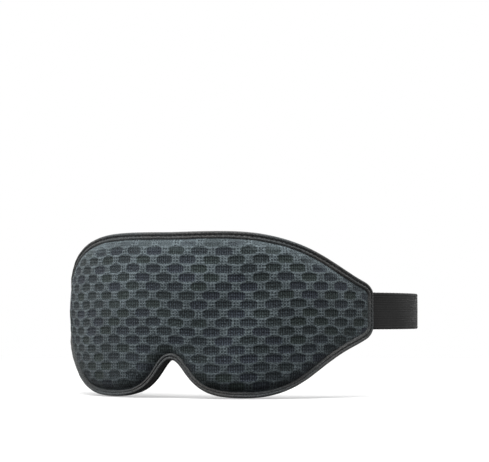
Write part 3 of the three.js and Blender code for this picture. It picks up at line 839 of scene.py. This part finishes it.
def cushion_height(s, z):
    outer = rise(cushion_outline.distance(s, z), CUSHION_OUTER_RUN, 0.55)
    inner = rise(distance_to(cup_line, s, z), CUP_WALL_RUN, 0.9)
    saddle = BRIDGE_RELIEF * bell(s, 0, 13) * (1 - smoothstep(z, 0, 30))
    below = DIMPLE_TOP - z
    width = DIMPLE_HALF_WIDTH * np.clip(0.6 + below / 18, 0.5, 1.3)
    dimple = DIMPLE_DEPTH * np.exp(-(np.abs(s) / width) ** 3) * smoothstep(below, -1.2, 3.2)
    dimple = dimple * (1 - smoothstep(below, 3.5, 14))
    crest = CUSHION_HEIGHT - CUSHION_FOOT - saddle - dimple
    return CUSHION_FOOT + crest * outer * inner


def make_cushion():
    s, z = flat_grid(cushion_outline, 0.2, FINE_STEP, gather=0.8)
    centre_s = (s[:-1, :-1] + s[1:, 1:]) / 2
    centre_z = (z[:-1, :-1] + z[1:, 1:]) / 2
    keep = ~in_cup(centre_s, centre_z, CUP_CLEAR)
    rim = np.unique(grid_faces(*s.shape, keep)[1])
    row, column = np.unravel_index(rim, s.shape)
    inner = (row > 0) & (row < s.shape[0] - 1) & (column > 0) & (column < s.shape[1] - 1)
    # The squares leave a stepped rim round each cup: pull its points onto the true curve.
    loop = cup_loop(CUP_CLEAR, 900)
    for i, j in zip(row[inner], column[inner]):
        mirror = np.sign(s[i, j])
        near = loop[np.argmin(np.hypot(loop[:, 0] - abs(s[i, j]), loop[:, 1] - z[i, j]))]
        s[i, j], z[i, j] = near[0] * mirror, near[1]
    height = cushion_height(s, z)
    soft = 0.16 * np.sin(s / 9 + 0.6) * np.sin(z / 7) + 0.08 * np.sin(s / 4.3 + z / 5)
    height = np.maximum(height + soft * smoothstep(height, 2, 7), 0.6)
    return cloth("moulded_cushion", s, z, 0 * s + CUSHION_BASE, CUSHION_BASE - height, keep)


# %% Jersey material
def jersey_material(name, light, dark):
    look = Recipe(name, roughness=0.9, sheen=0.08, specular=0.2)
    s, z = look.flat()
    wales = look.times(look.wave(s, 0.7), look.remap(look.wave(z, 0.85), 0, 1, 0.5, 1))
    fuzz = look.noise(0.4, 4, solid=True)
    cloud = look.remap(look.noise(13, 3, solid=True), 0.35, 0.65)
    look.colour(look.mix(look.weigh((fuzz, 0.55), (wales, 0.25), (cloud, 0.2)), dark, light))
    return look.bump((wales, 0.07), (fuzz, 0.14), (look.noise(2.2, 2, solid=True), 0.12))


cushion_jersey = jersey_material("brushed_jersey", srgb(86, 86, 87), srgb(46, 46, 47))
cushion = dress(make_cushion(), cushion_jersey, "mask", "smooth_jersey", "face_cushion")

# %% [markdown]
# ## The nose flap
#
# Two halves of the same jersey meet in a seam over the nose. Their arched upper edge is sewn to the
# lining, and their lower edge hangs free over the binding, so it can bend against the cheeks. The
# flap is a thin sheet: its shape is all in how it lifts over the binding and waves a little at the
# free edge.

# %% Nose flap
FLAP_THICKNESS = 0.8
FLAP_OVERHANG = 0.6
SEWN_INSET = 1.5
OVER_TAPE = TAPE_BACK - GAP - 0.5 - GAP


def flap_front(s, z):
    """The depth of the flap's front: behind the binding at the edge, against the lining further in."""
    clear = smoothstep(edge.distance(s, z), TAPE_WIDTH + 0.5, TAPE_WIDTH + 5)
    return lerp(OVER_TAPE, LINING_BACK - GAP, clear)


def make_flap(name, side):
    s = np.linspace(GAP / 2, FLAP_END, 110) * side
    s = s if side > 0 else s[::-1]
    share = np.linspace(0, 1, 46)[:, None]
    low = edge.span(s)[0] + FLAP_OVERHANG
    low = lerp(low, flap_top(s) - 0.5, smoothstep(np.abs(s), FLAP_END - 9, FLAP_END + 1) * 0.92)
    z = lerp(low, flap_top(s), share)
    s = s + 0 * z
    inner = flap_front(s, z)
    from_free = (z - low) * np.ones_like(s)
    from_sewn = flap_top(s) - z
    hem = 0.25 * bell(from_free, 1.1, 0.7)
    thin = 0.3 * np.exp(-from_free / 0.3) + 0.35 * np.exp(-from_sewn / 0.35)
    stitched = 0.3 * bell(from_sewn, SEWN_INSET, 0.5)
    wave = 0.3 * np.sin(np.abs(s) / 5.5 + 0.8) * np.exp(-from_free / 5)
    lift = np.clip(wave, 0, None)
    back = inner - FLAP_THICKNESS - hem + thin + stitched - lift
    return cloth(name, s, z, inner - lift, np.minimum(back, inner - lift - 0.25))


flap_jersey = jersey_material("flap_jersey", srgb(84, 84, 85), srgb(42, 42, 43))
for flap_side, flap_name in ((1, "left"), (-1, "right")):
    flap = make_flap(f"nose_flap_{flap_name}_cloth", flap_side)
    dress(flap, flap_jersey, "mask", "smooth_jersey", f"nose_flap_{flap_name}")

# %% [markdown]
# ## The edge binding
#
# A strip of knitted tape is folded over the edge and sewn through. Seen from the front it has two
# soft ridges with the stitch line pressed in between them. One cross-section is swept round the
# outline: a channel that holds the layers. The groove is pulled in a little deeper at each stitch.
# Along the bottom the tape is narrower and its fold curls forward a little.

# %% Binding
STITCH_PITCH = 2.7
STITCH_INSET = 2.15
FOLD_DEPTH = 1.0
TAPE_STEP = 0.6


def fine_loop(step):
    """The whole outline with even steps, its inward directions and the length along it, in mm."""
    closed = np.vstack([edge.loop, edge.loop[:1]])
    length = lengths(closed)[-1]
    count = int(round(length / step))
    points = evenly(closed, count + 1)[:-1]
    way = np.roll(points, -1, 0) - np.roll(points, 1, 0)
    for _ in range(4):
        way = (np.roll(way, 1, 0) + way + np.roll(way, -1, 0)) / 3
    return points, right_of(unit(way)), np.arange(count) * length / count


def groove(inset):
    return bell(inset, STITCH_INSET, 0.42)


def tape_profile():
    """The tape's cross-section as (inset, depth, share of the groove), front edge first."""
    inset = np.linspace(TAPE_WIDTH + 0.1, FOLD_DEPTH, 20)
    turned_in = 0.55 * np.exp(-(inset[0] - inset) / 0.3)
    ridge = 0.1 * np.cos((inset - 1.1) * math.pi)
    front = TAPE_FRONT - 0.12 - turned_in + ridge
    back = TAPE_BACK + 0.12 + turned_in - ridge
    turn = np.linspace(math.pi / 2, -math.pi / 2, 13)[1:-1]
    middle, half = (front[-1] + back[-1]) / 2, (front[-1] - back[-1]) / 2
    fold = join(FOLD_DEPTH - FOLD_DEPTH * np.cos(turn) ** 0.8, middle + half * np.sin(turn))
    within = np.linspace(TAPE_WIDTH, FOLD_DEPTH + 0.2, 4)
    channel = np.vstack([join(within, TAPE_BACK + 0.7), join(within[::-1], TAPE_FRONT - 0.7)])
    profile = np.vstack([join(inset, front), fold, join(inset, back)[::-1], channel])
    no_groove = np.zeros(len(channel))
    sign = np.concatenate([-groove(inset), 0 * turn, groove(inset[::-1]), no_groove])
    return profile, sign


def make_binding():
    points, inward, along = fine_loop(TAPE_STEP)
    profile, sign = tape_profile()
    stitch = 0.5 + 0.5 * np.cos(2 * math.pi * along / STITCH_PITCH)
    depth = 0.26 + 0.14 * stitch + ripple(along, (31, 0.03), (11, 0.02))
    width = 1 + ripple(along, (47, 0.02), (17, 0.012)) - 0.24 * smoothstep(-points[:, 1], 12, 36)
    puff = 1 + ripple(along, (23, 0.02), (9, 0.015))
    # Only the outer faces swell and narrow: the channel inside, which holds the layers, stays true.
    outer = (profile[:, 0] < 3.9) & (np.abs(profile[:, 1]) > 1.9)
    inset = np.where(profile[:, 0] > 2.6, profile[:, 0] * width[:, None], profile[:, 0])
    d = profile[:, 1] * np.where(outer, puff[:, None], 1) + sign * depth[:, None]
    curl = 0.8 * smoothstep(-points[:, 1], 8, 34) * smoothstep(np.abs(points[:, 0]), 14, 30)
    d = d + curl[:, None] * smoothstep(profile[:, 1], 0, 2) * (1 - profile[:, 0] / TAPE_WIDTH)
    flat = points[:, None] + inward[:, None] * inset[..., None]
    rings = wrap(flat[..., 0], flat[..., 1], d)
    return sweep("edge_tape", rings, join(along[:, None], lengths(profile)))


def tape_material():
    look = Recipe("knitted_tape", roughness=0.9, sheen=0.15, specular=0.25)
    along, across = look.flat()
    rib = look.wave(across, 0.62)
    loops = look.wave(look.plus(along, look.times(across, 0.35)), 0.8)
    weave = look.times(rib, look.remap(loops, 0, 1, 0.35, 1))
    fleck = look.remap(look.noise(0.8, 3), 0.4, 0.66)
    shift = look.remap(look.noise(38, 1), 0.4, 0.6)
    pale = look.mix(shift, srgb(122, 120, 118), srgb(116, 122, 124))
    look.colour(look.mix(look.weigh((weave, 0.35), (fleck, 0.6)), srgb(54, 56, 57), pale))
    return look.bump((weave, 0.12), (fleck, 0.08))


dress(make_binding(), tape_material(), "mask", "binding_tape", "edge_binding")

# %% [markdown]
# ## Stitching
#
# Thread is worth modelling: a row of small raised stitches catches the light in a way that a painted
# line can't. Each stitch is a short tube that rises out of the cloth and dives back. One helper
# makes every row of stitches and every zigzag of thread on the mask.

# %% Thread helper
THREAD_SIDES = 7


def tubes(name, lines, radii, up):
    """Round threads along several lines of points, given as (lines, points, xyz) in metres."""
    tangent = unit(np.gradient(lines, axis=1))
    side = unit(np.cross(tangent, up))
    over = np.cross(side, tangent)
    turn = np.linspace(0, 2 * math.pi, THREAD_SIDES, endpoint=False)[:, None]
    circle = side[:, :, None] * np.cos(turn) + over[:, :, None] * np.sin(turn)
    rings = lines[:, :, None] + circle * np.broadcast_to(radii, lines.shape[:2])[..., None, None]
    count, steps = lines.shape[:2]
    number = np.arange(count * steps * THREAD_SIDES).reshape(count, steps, THREAD_SIDES)
    a, b = number[:, :-1], number[:, 1:]
    faces = np.stack([a, np.roll(a, -1, 2), np.roll(b, -1, 2), b], -1).reshape(-1, 4)
    made = finish_mesh(name, rings.reshape(-1, 3), faces)
    seal(made.data)
    return made


def thread_material():
    look = Recipe("sewing_thread", roughness=0.6, specular=0.4)
    inputs = {"Vector": look.solid(), "Scale": 900.0, "Distortion": 2.0}
    turns = look.add("ShaderNodeTexWave", inputs).outputs["Fac"]
    look.colour(look.mix(turns, srgb(22, 23, 24), srgb(46, 47, 49)))
    return look.bump((turns, 0.06))


STITCH = np.linspace(-1, 1, 7)
STITCH_ARCH = 1 - STITCH**4
STITCH_TAPER = THREAD / 2 * np.sqrt(1 - 0.85 * STITCH**6)


def stitch_row(name, s, z, depth, direction, length=1.9):
    """Stitches at flat places, each lying along its flat direction on a surface at a depth."""
    reach = STITCH * length / 2
    line_s = s[:, None] + direction[:, :1] * reach
    line_z = z[:, None] + direction[:, 1:] * reach
    outside = np.sign(depth)[:, None]
    line_d = depth[:, None] + outside * (STITCH_ARCH * THREAD - THREAD * 0.55)
    lines = wrap(line_s, line_z, line_d)
    up = wrap(line_s, line_z, line_d + 1) - wrap(line_s, line_z, line_d)
    return tubes(name, lines, STITCH_TAPER * MM, up)


thread_look = thread_material()
loop_points, loop_inward, _ = fine_loop(STITCH_PITCH)
loop_direction = -right_of(loop_inward)
row_places = loop_points + loop_inward * STITCH_INSET
for row_name, row_depth in (("front", TAPE_FRONT - 0.42), ("back", TAPE_BACK + 0.42)):
    depths = np.full(len(row_places), row_depth)
    row = stitch_row(f"stitches_{row_name}", *row_places.T, depths, loop_direction)
    dress(row, thread_look, "mask", "thread", f"binding_thread_{row_name}")

# %% [markdown]
# The nose flap has two more rows: one just inside its sewn edge, and one down the seam in the
# middle, where the halves are overcast with short cross stitches.

# %% Flap stitching
def flap_stitches():
    s = np.arange(-54, 54.1, 2.5)
    s = s[np.abs(s) > 1.5]
    z = flap_top(s) - SEWN_INSET
    slope = unit(join(1, (flap_top(s + 0.1) - flap_top(s - 0.1)) / 0.2))
    depth = flap_front(s, z) - FLAP_THICKNESS + 0.38
    return stitch_row("stitches_flap", s, z, depth, slope, 1.7)


def zigzag(count, reach):
    """Numbers that jump from one side to the other."""
    return np.where(np.arange(count) % 2, reach, -reach)


def seam_stitches():
    z = np.arange(FLAP_OVERHANG + 1.2 - NOTCH_DEPTH, 0.2 - FLAP_TOP, 0.55)
    s = zigzag(len(z), 0.12)
    lean = unit(join(1, zigzag(len(z), 0.35)))
    depth = flap_front(s, z) - FLAP_THICKNESS - 0.12
    return stitch_row("seam_stitches", s, z, depth, lean, 2.2)


dress(flap_stitches(), thread_look, "mask", "thread")
dress(seam_stitches(), thread_look, "mask", "thread", "nose_flap_seam")

# %% [markdown]
# ## The elastic strap
#
# The strap is woven elastic, 20 mm wide. In plan it leaves each tip in line with the mask, follows
# the sides of the head, and turns across the back. Its parts bend or stretch with different joints,
# so it is swept in lengths that meet end to end, and the weave's lengthwise measure carries on from
# one length to the next.

# %% The strap's plan
WEB = 1.0
WEB_STEP = 0.7
SLIP = 0.3
BUTT = 0.06
STRAP_SEWN = 12.0
SIDE_RADIUS = 109.0
SIDE_END = math.radians(112)
CORNER_RADIUS = 38.0
RING_BAR = 3.0
RING_SPAN = 8.0
RING_FROM_CORNER = 16.5
SEWN_FOLD = 11.0
SLIDER_FROM_RING = 57.0
SLIDER_LENGTH = 18.0
SLIDER_BAR = 1.4
SLIDER_BAR_WIDTH = 3.0
RAIL = 2.4


def bearing(heading):
    """From the centre of a left-hand bend to the point where it runs at a heading."""
    return join(np.sin(heading), -np.cos(heading))


def bend(centre, radius, start, end):
    """An arc between two headings."""
    count = max(int(abs(end - start) * radius / WEB_STEP), 4)
    return centre + radius * bearing(np.linspace(start, end, count))


TIP_HEADING = HALF_LENGTH / WRAP_RADIUS
tip_point = WRAP_RADIUS * bearing(TIP_HEADING)
side_centre = tip_point - SIDE_RADIUS * bearing(TIP_HEADING)
corner_centre = side_centre + (SIDE_RADIUS - CORNER_RADIUS) * bearing(SIDE_END)
BACK_Y = corner_centre[1] + CORNER_RADIUS
BACK_END = corner_centre[0]
INNER_Y = BACK_Y - RING_BAR - 2 * SLIP - WEB
BAR_Y = (BACK_Y + INNER_Y) / 2
RING_OUTER_X = BACK_END - RING_FROM_CORNER
RING_INNER_X = RING_OUTER_X - RING_SPAN
SLIDER_X = RING_INNER_X - SLIDER_FROM_RING
LOOP_END_X = SLIDER_X + SEWN_FOLD + 2
SLIDER_MIDDLE_Y = INNER_Y + WEB / 2 + SLIP
LAP_Y = BACK_Y - WEB - SLIP

sewn_start = TIP_HEADING - STRAP_SEWN / WRAP_RADIUS
plan = chain(
    bend(np.zeros(2), WRAP_RADIUS, sewn_start, TIP_HEADING),
    bend(side_centre, SIDE_RADIUS, TIP_HEADING, SIDE_END),
    bend(corner_centre, CORNER_RADIUS, SIDE_END, math.pi),
)
print("strap, tip to back, mm:", round(lengths(plan)[-1]))


def part_of(line, start=0.0, end=math.inf):
    """The stretch of a line between two lengths along it."""
    end = min(end, lengths(line)[-1])
    return at_lengths(line, np.linspace(start, end, max(int((end - start) / WEB_STEP), 3)))


def round_bar(x, towards):
    """Half a turn round a bar of the ring, from the outer web to the inner one."""
    turn = np.linspace(0, math.pi, 16)
    radius = (BACK_Y - INNER_Y) / 2
    return join(x + towards * radius * np.sin(turn), BACK_Y - radius * (1 - np.cos(turn)))


# %% Webbing
RIB_PITCH = 1.25
PICK_PITCH = 1.9


def web_section():
    """The webbing's section as (across the thickness, height): cords with a firmer selvedge."""
    height = np.linspace(-STRAP_WIDTH / 2, STRAP_WIDTH / 2, 65)
    from_edge = STRAP_WIDTH / 2 - np.abs(height)
    cords = 0.025 * np.cos(2 * math.pi * height / RIB_PITCH)
    selvedge = 0.07 * bell(from_edge, 0.7, 0.5)
    half = (WEB / 2 - 0.06 + cords + selvedge) * np.sqrt(np.clip(from_edge / 0.45, 0, 1))
    face = join(half, height)
    return np.vstack([face[:-1], (face * [-1, 1])[:0:-1]])


def webbing(name, line, start=0.0, calm=False):
    """Elastic webbing standing on edge along a line in plan. `start` is how far along it begins."""
    along = start + lengths(line)
    left = -right_of(unit(np.gradient(line, axis=0)))
    section = web_section()
    pick = 1 + 0.05 * np.cos(2 * math.pi * along / PICK_PITCH)
    sway = 0 * along if calm else 0.16 * np.sin(along / 9.5) + 0.1 * np.sin(along / 4.1 + 1)
    sideways = section[:, 0] * pick[:, None] + sway[:, None] * np.cos(section[:, 1] / 7)
    flat = line[:, None] + left[:, None] * sideways[..., None]
    height = section[:, 1] * (1 + 0.003 * np.cos(math.pi * along / PICK_PITCH))[:, None]
    rings = join(flat[..., 0], flat[..., 1], height) * MM
    return sweep(name, rings, join(along[:, None], section[:, 1]), closed=False)


def elastic_material():
    look = Recipe("woven_elastic", roughness=0.82, sheen=0.1, specular=0.3)
    along, height = look.flat()
    cords = look.wave(height, RIB_PITCH, math.pi / 2)
    picks = look.wave(look.plus(along, look.times(height, 0.6)), PICK_PITCH / 2)
    weave = look.times(look.remap(cords, 0, 1, 0.45, 1), look.remap(picks, 0, 1, 0.5, 1))
    slub = look.remap(look.noise(1.6, 4), 0.4, 0.75)
    light = look.weigh((weave, 0.6), (slub, 0.3))
    look.colour(look.mix(light, srgb(23, 23, 23), srgb(42, 42, 42)))
    return look.bump((cords, 0.05), (picks, 0.08), (slub, 0.05))


# %% [markdown]
# Each side has a root, which bends where the strap swings about the mask's tips, and a long web,
# which stretches along the side of the head. The short strap ends in a fold round the ring's outer
# bar. The long one runs through the slider, turns in the ring and comes back, and its end is sewn
# round the slider's middle bar.

# %% Strap lengths
ROOT_END = STRAP_SEWN + 26
elastic_look = elastic_material()


def ending(points):
    """Straight stretches through a few points."""
    return evenly(np.array(points, float), 60)


SHORT_END = chain(
    round_bar(RING_OUTER_X, -1),
    ending([(RING_OUTER_X, INNER_Y), (RING_OUTER_X + 6, LAP_Y), (RING_OUTER_X + SEWN_FOLD, LAP_Y)]),
)
LONG_END = round_bar(RING_INNER_X, 1)
for side, strap, tail in ((1, "short_strap", SHORT_END), (-1, "long_strap", LONG_END)):
    mirrored = plan * [side, 1]
    root = webbing(f"{strap}_root_web", part_of(mirrored, 0, ROOT_END))
    dress(root, elastic_look, None, "elastic", f"{strap}_root")
    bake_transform(root)

    run = np.vstack([[side * BACK_END, BACK_Y], tail[0]])
    rest = chain(part_of(mirrored, ROOT_END), part_of(run), tail)
    web = webbing(f"{strap}_web", rest, start=ROOT_END)
    dress(web, elastic_look, None, "elastic", f"{strap}_side", f"{strap}_back")
    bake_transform(web)

return_line = np.array([(RING_INNER_X - BUTT, INNER_Y), (LOOP_END_X + BUTT, INNER_Y)])
return_web = webbing("return_web", part_of(return_line), calm=True)
dress(return_web, elastic_look, "strap_back", "elastic", "long_strap_return")
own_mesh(return_web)


def end_loop_line():
    """Along the inner web, round the slider's middle bar, and down to lie on the web again."""
    over = SLIDER_MIDDLE_Y + SLIDER_BAR + SLIP + WEB / 2
    lap = INNER_Y + WEB + SLIP
    radius = (over - INNER_Y) / 2
    bar_start, bar_end = SLIDER_X - SLIDER_BAR_WIDTH / 2, SLIDER_X + SLIDER_BAR_WIDTH / 2
    turn = np.linspace(0, math.pi, 18)
    x = bar_start + 0.2 - radius * np.sin(turn)
    turned = join(x, INNER_Y + radius * (1 - np.cos(turn)))
    first = ending([(LOOP_END_X, INNER_Y), turned[0]])
    turn_x = bar_end + 2.2
    slope = bezier(
        (bar_end + 0.4, over), (turn_x, over), (turn_x, lap), (bar_end + 4.2, lap), count=14
    )
    last = ending([slope[-1], (LOOP_END_X - 0.4, lap)])
    return chain(first, turned, ending([turned[-1], slope[0]])[::6], slope, last)


end_loop = webbing("end_loop_web", end_loop_line(), calm=True)
dress(end_loop, elastic_look, "slider", "elastic", "long_strap_end_loop")

# %% [markdown]
# ## Ring, slider and bartacks
#
# The two fittings are moulded in black acetal. The ring is a round bar bent to a rounded rectangle.
# The slider is cut from blocks and then remeshed with small voxels and smoothed, which rounds every
# edge and inner corner as a mould does. Where the webbing is sewn back on itself, a bartack holds
# it: a dense zigzag of thread.

# %% Fittings
TACK_REACH = 1.3
RING_CORNER = 2.4
MOULD_VOXEL = 0.24


def plastic_material():
    look = Recipe("black_acetal", roughness=0.42, specular=0.5)
    grain = look.noise(0.5, 3, solid=True)
    look.colour(look.mix(look.noise(6, 2, solid=True), srgb(20, 20, 21), srgb(30, 30, 31)))
    look.plug(look.shader.inputs["Roughness"], look.remap(grain, 0.3, 0.7, 0.34, 0.52))
    return look.bump((grain, 0.03))


def make_ring():
    half_x, half_z = RING_SPAN / 2, STRAP_WIDTH / 2 + SLIP + 0.8 * RING_BAR
    centre_x, centre_z = half_x - RING_CORNER, half_z - RING_CORNER
    arcs = []
    for k, (sx, sz) in enumerate([(1, 1), (-1, 1), (-1, -1), (1, -1)]):
        angle = np.linspace(k, k + 1, 12) * math.pi / 2
        round_corner = RING_CORNER * join(np.cos(angle), np.sin(angle))
        arcs.append(np.array([sx * centre_x, sz * centre_z]) + round_corner)
    path = evenly(np.vstack([*arcs, arcs[0][:1]]), 121)[:-1]
    way = unit(np.roll(path, -1, 0) - np.roll(path, 1, 0))
    turn = np.linspace(0, 2 * math.pi, 20, endpoint=False)
    out = right_of(way)[:, None] * np.cos(turn)[:, None] * RING_BAR / 2
    x = (RING_OUTER_X + RING_INNER_X) / 2 + path[:, None, 0] + out[..., 0]
    y = BAR_Y + RING_BAR / 2 * np.sin(turn)
    rings = join(x, y, path[:, None, 1] + out[..., 1]) * MM
    return sweep("ring", rings, rings[..., :2] / MM)


def make_slider():
    """Two rails, two end bars outside the webbing and a middle bar inside it."""
    half, edge_z = SLIDER_LENGTH / 2, STRAP_WIDTH / 2 + SLIP
    half_bar, bar_z = SLIDER_BAR_WIDTH / 2, edge_z + 0.5
    outside = BACK_Y + WEB / 2 + SLIP
    inside, top = SLIDER_MIDDLE_Y, outside + SLIDER_BAR
    blocks = [
        (-half, half, inside, top, edge_z, edge_z + RAIL),
        (-half, half, inside, top, -edge_z - RAIL, -edge_z),
        (-half, -half + SLIDER_BAR_WIDTH, outside, top, -bar_z, bar_z),
        (half - SLIDER_BAR_WIDTH, half, outside, top, -bar_z, bar_z),
        (-half_bar, half_bar, inside, inside + SLIDER_BAR, -bar_z, bar_z),
    ]
    shape = bmesh.new()
    for x0, x1, y0, y1, z0, z1 in blocks:
        block = bmesh.ops.create_cube(shape, size=1)["verts"]
        for v in block:
            v.co.x = (SLIDER_X + lerp(x0, x1, v.co.x + 0.5)) * MM
            v.co.y = lerp(y0, y1, v.co.y + 0.5) * MM
            v.co.z = lerp(z0, z1, v.co.z + 0.5) * MM
    made = object_from("slider", shape)
    remesh = made.modifiers.new("voxels", "REMESH")
    remesh.mode, remesh.voxel_size, remesh.use_smooth_shade = "VOXEL", MOULD_VOXEL * MM, True
    smooth = made.modifiers.new("rounding", "SMOOTH")
    smooth.factor, smooth.iterations = 0.6, 6
    bpy.context.view_layer.update()
    ready = made.evaluated_get(bpy.context.evaluated_depsgraph_get())
    made.data = bpy.data.meshes.new_from_object(ready)
    made.modifiers.clear()
    print("slider", len(made.data.polygons), "faces")
    return made


def bartack(name, x, y, facing):
    """A zigzag of thread across the webbing, on the face that looks along `facing` in y."""
    half = STRAP_WIDTH / 2 - 1.6
    z = np.arange(-half, half, 0.3)
    line = join(x + zigzag(len(z), TACK_REACH), y, z)
    dense = evenly(line, len(z) * 6)
    lift = 0.12 * (1 - (np.abs(dense[:, 0] - x) / TACK_REACH) ** 4)
    dense[:, 1] += facing * lift
    return tubes(name, dense[None] * MM, THREAD / 2 * 0.8 * MM, np.array([0.0, facing, 0.0]))


plastic_look = plastic_material()
dress(make_ring(), plastic_look, "strap_back", "black_plastic", "strap_ring")
dress(make_slider(), plastic_look, "slider", "black_plastic", "strap_slider")

SLIDER_TACK_X = LOOP_END_X - 4
RING_TACK_X = RING_OUTER_X + SEWN_FOLD - 3
tacks = (
    ("slider_tack_inside", SLIDER_TACK_X, INNER_Y - WEB / 2, -1, "slider", ("slider_bartack",)),
    ("slider_tack_outside", SLIDER_TACK_X, INNER_Y + WEB + SLIP + WEB / 2, 1, "slider", ()),
    ("ring_tack_inside", RING_TACK_X, LAP_Y - WEB / 2, -1, "strap_back", ("ring_bartack",)),
    ("ring_tack_outside", RING_TACK_X, BACK_Y + WEB / 2, 1, "strap_back", ()),
)
for tack_name, tack_x, tack_y, facing, body, stood_for in tacks:
    tack = bartack(tack_name, tack_x, tack_y, facing)
    dress(tack, thread_look, body, "thread", *stood_for)

# %% [markdown]
# ## Floor and light
#
# The floor is plain and pale. It isn't part of the object, and it is kept from throwing light back
# up, so that the underside of the mask stays as dark as cloth does in a large room. Further out it
# glows to the colour of the background, which hides the line between the two. There are four soft
# lamps: the key, above and to the left in front, a stronger one overhead, a weak one from the right
# that catches the strap's edge, and a low one behind for the inside of the mask.

# %% Floor, sky and lamps
FLOOR_RADIUS = 8.0


def floor_material():
    look = Recipe("pale_floor", roughness=0.9, specular=0.0)
    look.colour((0.86, 0.86, 0.86, 1))
    far = look.add("ShaderNodeVectorMath", {0: look.solid()}, operation="LENGTH").outputs["Value"]
    glow = look.add("ShaderNodeEmission", {"Color": (1, 1, 1, 1), "Strength": 1.0})
    share = look.remap(far, 0.2, 0.9, 0.35, 1, smooth=True)
    both = look.add("ShaderNodeMixShader", {0: share, 1: look.shader.outputs[0], 2: glow.outputs[0]})
    output = look.tree.nodes["Material Output"]
    look.tree.links.new(both.outputs[0], output.inputs["Surface"])
    return look.material


def make_floor():
    shape = bmesh.new()
    bmesh.ops.create_circle(shape, cap_ends=True, segments=96, radius=FLOOR_RADIUS)
    floor = object_from("floor", shape)
    floor.data.materials.append(floor_material())
    floor.location.z = cad_box[0][2] - 0.4 * MM
    floor.visible_diffuse = False
    floor.visible_glossy = False


def make_sky():
    """White to the camera, and a light on the mask that grows brighter with height."""
    world = bpy.data.worlds.new("studio")
    world.use_nodes = True
    bpy.context.scene.world = world
    world.node_tree.nodes.clear()
    sky = Nodes(world.node_tree)
    where = sky.add("ShaderNodeTexCoord").outputs["Generated"]
    height = sky.add("ShaderNodeSeparateXYZ", {0: where}).outputs["Z"]
    shade = sky.add("ShaderNodeBackground", {"Strength": sky.remap(height, -0.35, 1, 0.03, 1)})
    white = sky.add("ShaderNodeBackground", {"Color": (1, 1, 1, 1)})
    seen = sky.add("ShaderNodeLightPath").outputs["Is Camera Ray"]
    both = sky.add("ShaderNodeMixShader", {0: seen, 1: shade.outputs[0], 2: white.outputs[0]})
    sky.add("ShaderNodeOutputWorld", {"Surface": both.outputs[0]})


def soft_light(name, place, size, power):
    data = bpy.data.lights.new(name, "AREA")
    data.shape, data.size, data.size_y, data.energy = "RECTANGLE", size[0], size[1], power
    lamp = add_object(name, data)
    lamp.location = place
    lamp.rotation_euler = (-Vector(place)).to_track_quat("-Z", "Y").to_euler()


make_floor()
make_sky()
soft_light("key", (-0.65, -1.1, 1.1), (0.9, 0.7), 12)
soft_light("overhead", (0.0, -0.5, 1.4), (1.0, 0.8), 18.5)
soft_light("rim", (1.3, 0.5, 0.6), (0.6, 0.9), 5)
soft_light("behind", (-0.25, 1.5, 0.35), (1.0, 0.8), 12)
print("lamps, W:", {lamp.name: lamp.energy for lamp in bpy.data.lights})
bpy.context.scene.view_settings.view_transform = "Standard"
